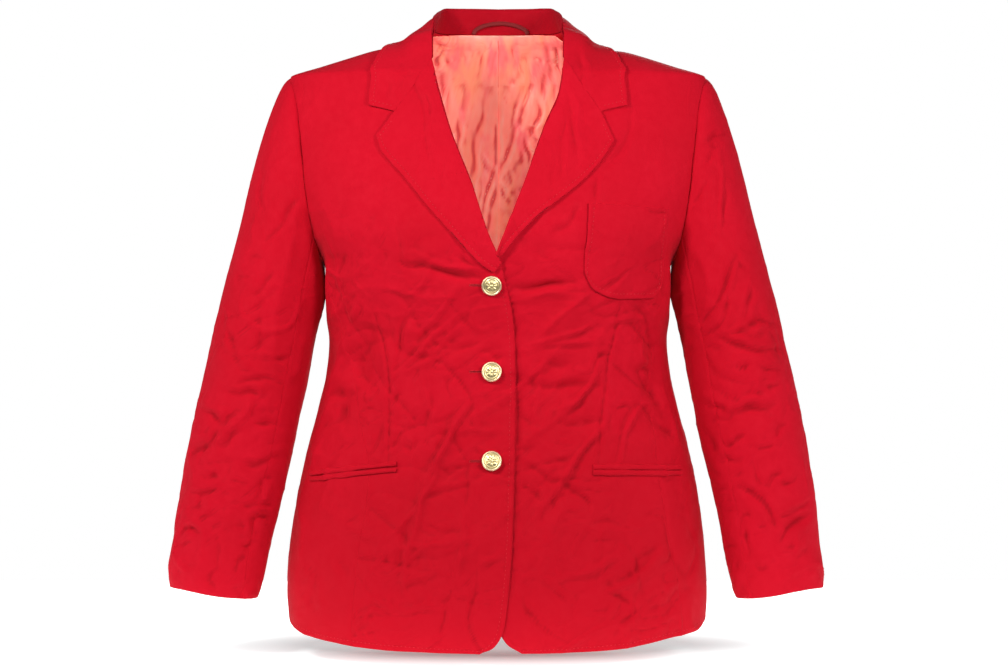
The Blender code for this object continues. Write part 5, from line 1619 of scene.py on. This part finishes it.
def tinted(tree, tone, *steps):
    """Mix colours in, each by a value read from its limits to a share of the colour."""
    for value, low, high, to_low, to_high, colour in steps:
        node = add_node(tree, "Mix", {"data_type": "RGBA"})
        share = ranged(tree, value, low, high, to_low, to_high)
        feed(tree, node, {0: share, 6: tone, 7: colour})
        tone = node.outputs[2]
    return tone


def noise(tree, vector, scale, detail, settings=None, **inputs):
    inputs.update(Vector=vector, Scale=scale, Detail=detail)
    return add_node(tree, "TexNoise", settings, **inputs).outputs[0]


def stretched(tree, vector, scale, lean=0.0):
    """Coordinates for a noise that is drawn out one way."""
    turn = (0.0, lean, 0.0)
    return add_node(tree, "Mapping", None, Vector=vector, Scale=scale, Rotation=turn).outputs[0]


def bumped(tree, *layers):
    """Bumps one on the other, each with its height, strength and distance."""
    below = {}
    for height, strength, distance in layers:
        bump = add_node(tree, "Bump", None, Height=height, Strength=strength, Distance=distance, **below)
        below = {"Normal": bump.outputs[0]}
    return bump.outputs[0]


def deepened(colour):
    return tuple(DEEPER * part for part in colour[:3]) + (1.0,)


def surface(tree):
    """Place on the object, height on it, and how far the surface bends out."""
    place = add_node(tree, "TexCoord").outputs["Object"]
    height = add_node(tree, "SeparateXYZ", None, Vector=place).outputs["Z"]
    return place, height, add_node(tree, "NewGeometry").outputs["Pointiness"]


def weave_height(tree, twill_scale, thread_scale):
    """Diagonal twill lines over crossing threads, in the cloth's own grain."""
    grain = add_node(tree, "UVMap", {"uv_map": WEAVE_UV}).outputs[0]
    twill, warp, weft = (
        add_node(tree, "TexWave", {"bands_direction": way}, Vector=grain, Scale=scale).outputs["Fac"]
        for way, scale in (("DIAGONAL", twill_scale), ("X", thread_scale), ("Y", thread_scale)))
    crossing = operation(tree, "Math", "MULTIPLY", warp, weft)[0]
    return operation(tree, "Math", "ADD", twill, crossing)[0], grain


def suiting(name, colour, deep):
    """Matt woven wool blend with a fine twill and a soft bloom."""
    material, tree, shader = new_material(name, colour, 0.8)
    place, height, bend = surface(tree)
    weave, grain = weave_height(tree, 3.6, 5.0)
    cloudy = noise(tree, place, 11.0, 3.0)
    mottle = noise(tree, place, 120.0, 5.0, Roughness=0.65)
    slub = noise(tree, stretched(tree, grain, (6.0, 0.7, 1.0)), 3.0, 4.0)
    # Painted shade: the cloth darkens near the foot of the body
    skirt_shade_distance = operation(tree, "VectorMath", "DISTANCE", place, SKIRT_SHADE_MIDDLE)["Value"]
    creases = noise(tree, place, 26.0, 3.0, {"noise_type": "RIDGED_MULTIFRACTAL"})
    worn = ranged(tree, height, *CREASED_FROM, 0.15, CREASE_STRENGTH)
    feed(tree, shader, {
        "Base Color": tinted(
            tree, colour, (cloudy, 0.35, 0.65, 0.0, 0.45, deep), (mottle, 0.35, 0.7, 0.0, 0.28, deep),
            (slub, 0.4, 0.75, 0.0, 0.22, deep), (weave, 0.0, 2.0, 0.16, 0.0, deep),
            # Both mixes here are painted shade: near the skirt's foot, and in hollows by pointiness
            (skirt_shade_distance, *SKIRT_SHADE_REACH, 0.75, 0.0, deep), (bend, *HOLLOW_SHADE, 0.85, 0.0, deepened(deep))),
        "Roughness": ranged(tree, mottle, 0.3, 0.7, 0.72, 0.88),
        "Specular IOR Level": 0.09,
        "Sheen Weight": 0.05,
        "Sheen Roughness": 0.5,
        "Sheen Tint": BLOOM_RED,
        "Normal": bumped(tree, (creases, worn, CREASE_DEPTH), (mottle, 0.35, 0.0006),
                         (slub, 0.25, 0.0004), (weave, 0.3, 0.00012)),
    })
    return material


def shot_satin(name):
    """Lining satin woven from two colours, so that it turns from pink to orange."""
    material, tree, shader = new_material(name, CORAL, 0.36)
    place, height, bend = surface(tree)
    weave, _ = weave_height(tree, 6.0, 8.0)
    streaked = noise(tree, stretched(tree, place, (34.0, 10.0, 8.0)), 1.0, 3.0)
    cloudy = noise(tree, stretched(tree, place, (46.0, 12.0, 16.0), SATIN_LEAN), 1.0, 3.0)
    pulls = noise(tree, stretched(tree, place, (60.0, 14.0, 16.0), SATIN_LEAN), 1.0, 3.0,
                  {"noise_type": "RIDGED_MULTIFRACTAL"})
    turned = add_node(tree, "LayerWeight", None, Blend=0.45).outputs["Facing"]
    tone = tinted(
        tree, CORAL, (streaked, 0.48, 0.62, 0.0, 0.9, CORAL_ORANGE),
        (cloudy, 0.5, 0.64, 0.0, 0.8, CORAL_PINK), (turned, 0.1, 0.75, 0.0, 0.75, CORAL_PINK),
        # Painted highlight on the ridges, read from pointiness
        (bend, 0.503, 0.55, 0.0, 0.5, CORAL_RIDGE_HIGHLIGHT),
        # Painted shade in the creases, by pointiness, and under the stand, by height
        (bend, 0.455, 0.497, 0.85, 0.0, CORAL_SHADE), (height, *LINING_SHADE, 0.0, 0.5, CORAL_SHADE))
    feed(tree, shader, {
        "Base Color": tone,
        # Painted glow: the lining's colour is also emitted
        "Emission Color": tone,
        "Emission Strength": SATIN_PAINTED_GLOW,
        "Roughness": ranged(tree, cloudy, 0.3, 0.7, 0.3, 0.45),
        "Specular IOR Level": 0.5,
        "Sheen Weight": 0.15,
        "Sheen Tint": CORAL_BLOOM,
        "Normal": bumped(tree, (pulls, 0.7, 0.0016), (weave, 0.2, 0.0001)),
    })
    return material


def thread(name, colour):
    material, tree, shader = new_material(name, colour, 0.55)
    twist = noise(tree, surface(tree)[0], 1500.0, 2.0)
    feed(tree, shader, {
        "Base Color": tinted(tree, colour, (twist, 0.35, 0.65, 0.0, 0.7, deepened(colour))),
        "Sheen Weight": 0.06,
        "Specular IOR Level": 0.15,
        "Normal": bumped(tree, (twist, 0.4, 0.0002)),
    })
    return material


def worn_metal(name, colour, roughness):
    """Plated metal, darker in its hollows and a little uneven in polish."""
    material, tree, shader = new_material(name, colour, roughness, 1.0)
    place, _, bend = surface(tree)
    cloud = noise(tree, place, 260.0, 4.0)
    feed(tree, shader, {
        "Base Color": tinted(tree, colour, (bend, 0.44, 0.52, 0.55, 0.0, DARK_GOLD),
                             (cloud, 0.45, 0.7, 0.0, 0.25, DARK_GOLD)),
        "Roughness": ranged(tree, cloud, 0.3, 0.7, roughness - 0.07, roughness + 0.1),
        "Normal": bumped(tree, (noise(tree, place, 2200.0, 2.0), 0.12, 0.0001)),
    })
    return material


def turned_in(grid, edge, amount, height):
    """How far the cloth draws in towards a hem."""
    return amount * np.clip(1 - edge_distance(grid, edge) / height, 0, 1) ** 2


def by_side(side, values):
    """Values for the first and last edge of a piece, given for the wearer's left."""
    return values if side > 0 else values[::-1]


def build_body(red):
    laid = {}
    for side, word in SIDES:
        name = word + "_front"
        grid = front_grid(side)
        normals = grid_normals(grid)
        opening = by_side(side, ("first", "last"))[0]
        heights = front_heights(grid, normals) + dart_heights(grid, side)
        heights += pressed_edge(grid, opening) * (1 - fade(grid[..., 2], *PRESSED_Z))
        heights += pressed_edge(grid, "bottom") - turned_in(grid, "bottom", *HEM_TURN)
        middle = grid[:, grid.shape[1] // 2, 2]
        gap = (HALF_GAP + (ROLL_GAP - HALF_GAP) * fade(middle, *ROLL_GAP_Z))[:, None]
        points = add_sheet(
            name, grid, normals, heights, CLOTH, [0.0, HALF_GAP] + by_side(side, [gap, HALF_GAP]),
            [FREE_ROUND, SEAM_ROUND] + by_side(side, [FREE_ROUND, SEAM_ROUND]), red)
        laid[name] = (points, normals, opening)
        for ending, panel in (("_side_panel", side_grid(side)), ("_back", back_grid(side, PANEL_CELL))):
            normals = grid_normals(panel)
            heights = front_heights(panel, normals) + pressed_edge(panel, "bottom")
            heights -= turned_in(panel, "bottom", *HEM_TURN)
            points = add_sheet(
                word + ending, panel, normals, heights, CLOTH, [0.0] + [HALF_GAP] * 3,
                [FREE_ROUND] + [SEAM_ROUND] * 3, red)
            laid[word + ending] = (points, normals, "bottom")
    return laid


def build_sleeves(red):
    parts = (("_top_sleeve", TOP_SLEEVE, SLEEVE_CELL), ("_under_sleeve", UNDER_SLEEVE, UNDER_SLEEVE_CELL))
    for side, word in SIDES:
        for ending, places, cell in parts:
            grid = sleeve_grid(side, *places, cell)
            normals = grid_normals(grid)
            from_armhole = edge_distance(grid, "bottom")
            heights = sleeve_heights(grid, normals, side) * fade(from_armhole, *ARMHOLE_PLAIN)
            heights -= ARMHOLE_SINK * fade(from_armhole, *ARMHOLE_SUNK) + turned_in(grid, "top", *CUFF_TURN)
            add_sheet(
                word + ending, grid, normals, heights, SLEEVE_CLOTH, [-ARMHOLE_LAP, 0.0, HALF_GAP, HALF_GAP],
                [SEAM_ROUND, FREE_ROUND, SEAM_ROUND, SEAM_ROUND], red)


def build_linings(satin):
    for side, word in SIDES:
        grid = back_grid(side, LINING_CELL, LINING_FIRST_ROW)
        outward = grid_normals(grid)
        x, z = grid[..., 0], grid[..., 2]
        crumple = sum(depth * ripple(grid * np.array(squeeze), wavelength, seed)
                      for depth, squeeze, wavelength, seed in LINING_RIPPLES)
        crumple += crinkles(grid, LINING_CRINKLES)
        heights = LINING_SLACK + LINING_FOLD_GAIN * fold_heights(x, z, LINING_FOLDS)
        heights += crumple * (LINING_CRUMPLE[0] + LINING_CRUMPLE[1] * fade(z, *LINING_CRUMPLE_Z))
        heights += PLEAT_RISE * np.exp(np.minimum(x, 0) / PLEAT_WIDTH) * (x < 0)
        heights = (heights + np.sqrt(heights ** 2 + LINING_SOFTNESS)) / 2
        visible = grid - outward * (CLOTH + LINING_GAP)
        add_sheet(
            word + "_back_lining", visible[:, ::-1], -outward[:, ::-1], heights[:, ::-1], LINING_CLOTH,
            [0.0, LINING_TOP_GAP] + by_side(side, LINING_SIDE_GAPS), [FINE_ROUND] * 4, satin)


def build_lapels(red):
    laid = {}
    for side, word in SIDES:
        grid = lapel_grid(side)
        normals = grid_normals(grid)
        fold, free = by_side(side, ("first", "last"))
        heights = front_heights(grid, normals) + ripples(grid, LAPEL_RIPPLES, side)
        heights += fold_heights(grid[..., 0], grid[..., 2], LAPEL_FOLDS) + pressed_edge(grid, free)
        points = add_rolled(
            word + "_lapel", grid, normals, heights, LAPEL_CLOTH,
            LAPEL_GAPS + by_side(side, [ROLL_INSET, 0.0]),
            [FREE_ROUND, SEAM_ROUND] + by_side(side, [FINE_ROUND, FREE_ROUND]), fold, LAPEL_CURL, red)
        laid[word + "_lapel"] = (points, normals, free)
    return laid


def build_collar(red, stand_shade):
    grid = leaf_grid()
    leaf_start = grid[0, ::-1]
    normals = grid_normals(grid)
    heights = pressed_edge(grid, "top") + ripples(grid, LEAF_RIPPLES)
    heights += fold_heights(grid[..., 0], grid[..., 2], COLLAR_FOLDS) * fade(-normals[..., 1], *COLLAR_FACING)
    points = add_rolled(
        "collar_leaf", grid, normals, heights, COLLAR_CLOTH, LEAF_GAPS,
        [FINE_ROUND, FREE_ROUND, SEAM_ROUND, SEAM_ROUND], "bottom", COLLAR_CURL, red)
    laid = {"collar_leaf": (points, normals, "top")}
    grid = stand_grid()
    grid[..., 0] += STAND_SPREAD * np.sign(grid[..., 0]) * fade(grid[-1, :, 2], *STAND_SPREAD_Z)
    reach = STAND_REACH * growing(grid[-1, :, 2], *STAND_REACH_Z)
    crest = grid[-1] + (leaf_start - grid[-1]) * reach[:, None]
    grid = np.concatenate([grid, crest[None]])
    normals = grid_normals(grid)
    rise = np.sin(math.pi * np.linspace(0, 1, len(grid)))[:, None] ** STAND_ARCH
    behind = grid[..., 1] > STAND_BEHIND
    heights = fold_heights(grid[..., 0], grid[..., 2], STAND_FOLDS) * behind
    heights = (ripples(grid, STAND_RIPPLES) - heights) * rise
    # The stand's darker cloth is painted shade under the collar leaf
    add_sheet("collar_stand", grid, normals, heights, COLLAR_CLOTH, STAND_GAPS,
              [SEAM_ROUND] * 4, stand_shade)
    return laid


def build_pockets(red):
    grid = patch_grid()
    normals = grid_normals(grid)
    heights = front_heights(grid, normals)
    for edge in ("bottom", "first", "last"):
        heights += pressed_edge(grid, edge)
    heights += PATCH_MOUTH_LIFT * fade(edge_distance(grid, "top"), PATCH_MOUTH, 0.0)
    points = add_sheet("breast_pocket", grid, normals, heights, PATCH_CLOTH, [0.0] * 4,
                       [PATCH_ROUND] * 4, red)
    laid = {"breast_pocket": (points, normals, "top")}
    high = SLIT_HALF + WELT_HEIGHT
    for side, word in SIDES:
        for ending, *edges in (("_upper_welt", SLIT_HALF, high), ("_lower_welt", -high, -SLIT_HALF)):
            grid = welt_grid(side, *edges)
            normals = grid_normals(grid)
            add_sheet(word + ending, grid, normals, front_heights(grid, normals), WELT_CLOTH, [0.0] * 4,
                      [WELT_ROUND] * 4, red)
    return laid


def build_stitches(laid, finish):
    def seam(name, edge=None, keep=None):
        points, normals, free = laid[name]
        line, ups = inset_line(points, normals, edge or free)
        kept = np.full(len(line), True) if keep is None else keep(line)
        lines.append((line[kept], ups[kept]))

    def off_notch(line):
        return np.abs(line[:, 0]) > NOTCH[0] + NOTCH_CLEAR

    lines = []
    for _, word in SIDES:
        seam(word + "_lapel")
        seam(word + "_lapel", "top", off_notch)
        for ending in ("_front", "_side_panel", "_back"):
            seam(word + ending, "bottom")
    seam("right_front", keep=lambda line: line[:, 2] < BREAK_Z)
    seam("collar_leaf")
    for edge in ("first", "last"):
        seam("collar_leaf", edge, off_notch)
    for edge in ("bottom", "first", "last"):
        seam("breast_pocket", edge)
    stitch_mesh("pick_stitches", lines, *finish, *PICK_STITCH)


def add_light(name, place, target, size, power, colour):
    data = bpy.data.lights.new(name, "AREA")
    data.shape = "DISK"
    data.size = size
    data.energy = power
    data.color = colour
    light = bpy.data.objects.new(name, data)
    light.location = place
    aim = mathutils.Vector(target) - mathutils.Vector(place)
    light.rotation_euler = aim.to_track_quat("-Z", "Y").to_euler()
    bpy.context.scene.collection.objects.link(light)


def build_floor():
    points = np.column_stack([np.array(FLOOR_CORNERS), np.zeros(4)]) / MM
    floor = new_mesh("floor", points, np.array([[0, 1, 2, 3]]))
    floor.location.z = FLOOR_Z
    material, tree, shader = new_material("pale_floor", FLOOR_WHITE, 0.9)
    place = add_node(tree, "TexCoord").outputs["Object"]
    offset = operation(tree, "VectorMath", "SUBTRACT", place, FLOOR_SHADOW_MIDDLE)[0]
    scaled = operation(tree, "VectorMath", "MULTIPLY", offset, FLOOR_SHADOW_SCALE)[0]
    away = operation(tree, "VectorMath", "LENGTH", scaled)["Value"]
    # Painted shadow: the floor's glow drops near the blazer
    glow_with_shadow = ranged(tree, away, *FLOOR_SHADOW_REACH, *FLOOR_GLOW_WITH_SHADOW)
    feed(tree, shader, {"Specular IOR Level": 0.1, "Emission Color": WHITE, "Emission Strength": glow_with_shadow})
    floor.data.materials.append(material)


def build_world():
    """A weak white sky that the camera sees at full white."""
    world = bpy.data.worlds.new("studio")
    bpy.context.scene.world = world
    world.use_nodes = True
    tree = world.node_tree
    background = tree.nodes["Background"]
    feed(tree, background, {"Color": WHITE, "Strength": SKY_LIGHT})
    seen = add_node(tree, "Background", None, Color=WHITE, Strength=1.0)
    path = add_node(tree, "LightPath").outputs["Is Camera Ray"]
    mix = add_node(tree, "MixShader")
    feed(tree, mix, {0: path, 1: background.outputs[0], 2: seen.outputs[0]})
    feed(tree, tree.nodes["World Output"], {"Surface": mix.outputs[0]})


def build_stage():
    scene = bpy.context.scene
    scene.view_settings.view_transform = "Standard"
    build_floor()
    build_world()
    for light in LIGHTS:
        add_light(*light)
    data = bpy.data.cameras.new("camera")
    data.lens = CAMERA_LENS
    data.sensor_width = SENSOR_WIDTH
    camera = bpy.data.objects.new("camera", data)
    camera.location = CAMERA_AT
    camera.rotation_euler = (math.pi / 2, 0.0, 0.0)
    scene.collection.objects.link(camera)
    scene.camera = camera


def build_object():
    red = (suiting("red_suiting_cloth", RED, DEEP_RED), "red_suiting")
    # Painted shade: the collar stand gets a darker red for the shade under the leaf
    stand_shade = (suiting("stand_shade_cloth", STAND_SHADE_RED, DEEP_STAND_SHADE_RED), "red_suiting")
    satin = (shot_satin("coral_satin_cloth"), "coral_satin")
    sewing = (thread("red_thread", THREAD_RED), "red_suiting")
    laid = build_body(red)
    build_sleeves(red)
    build_linings(satin)
    laid.update(build_lapels(red))
    laid.update(build_collar(red, stand_shade))
    laid.update(build_pockets(red))
    build_stitches(laid, sewing)
    metal = worn_metal("pale_gold_metal", PALE_GOLD, 0.38)
    rim = worn_metal("gold_rim_metal", GOLD, 0.4)
    for name, z in BUTTON_HEIGHTS.items():
        build_button(name, z, metal, rim)
    build_buttonholes(sewing[0], thread("slit_shade_thread", SLIT_SHADE_RED))
    build_hanger(thread("braid_cord", BRAID))


build_object()
build_stage()
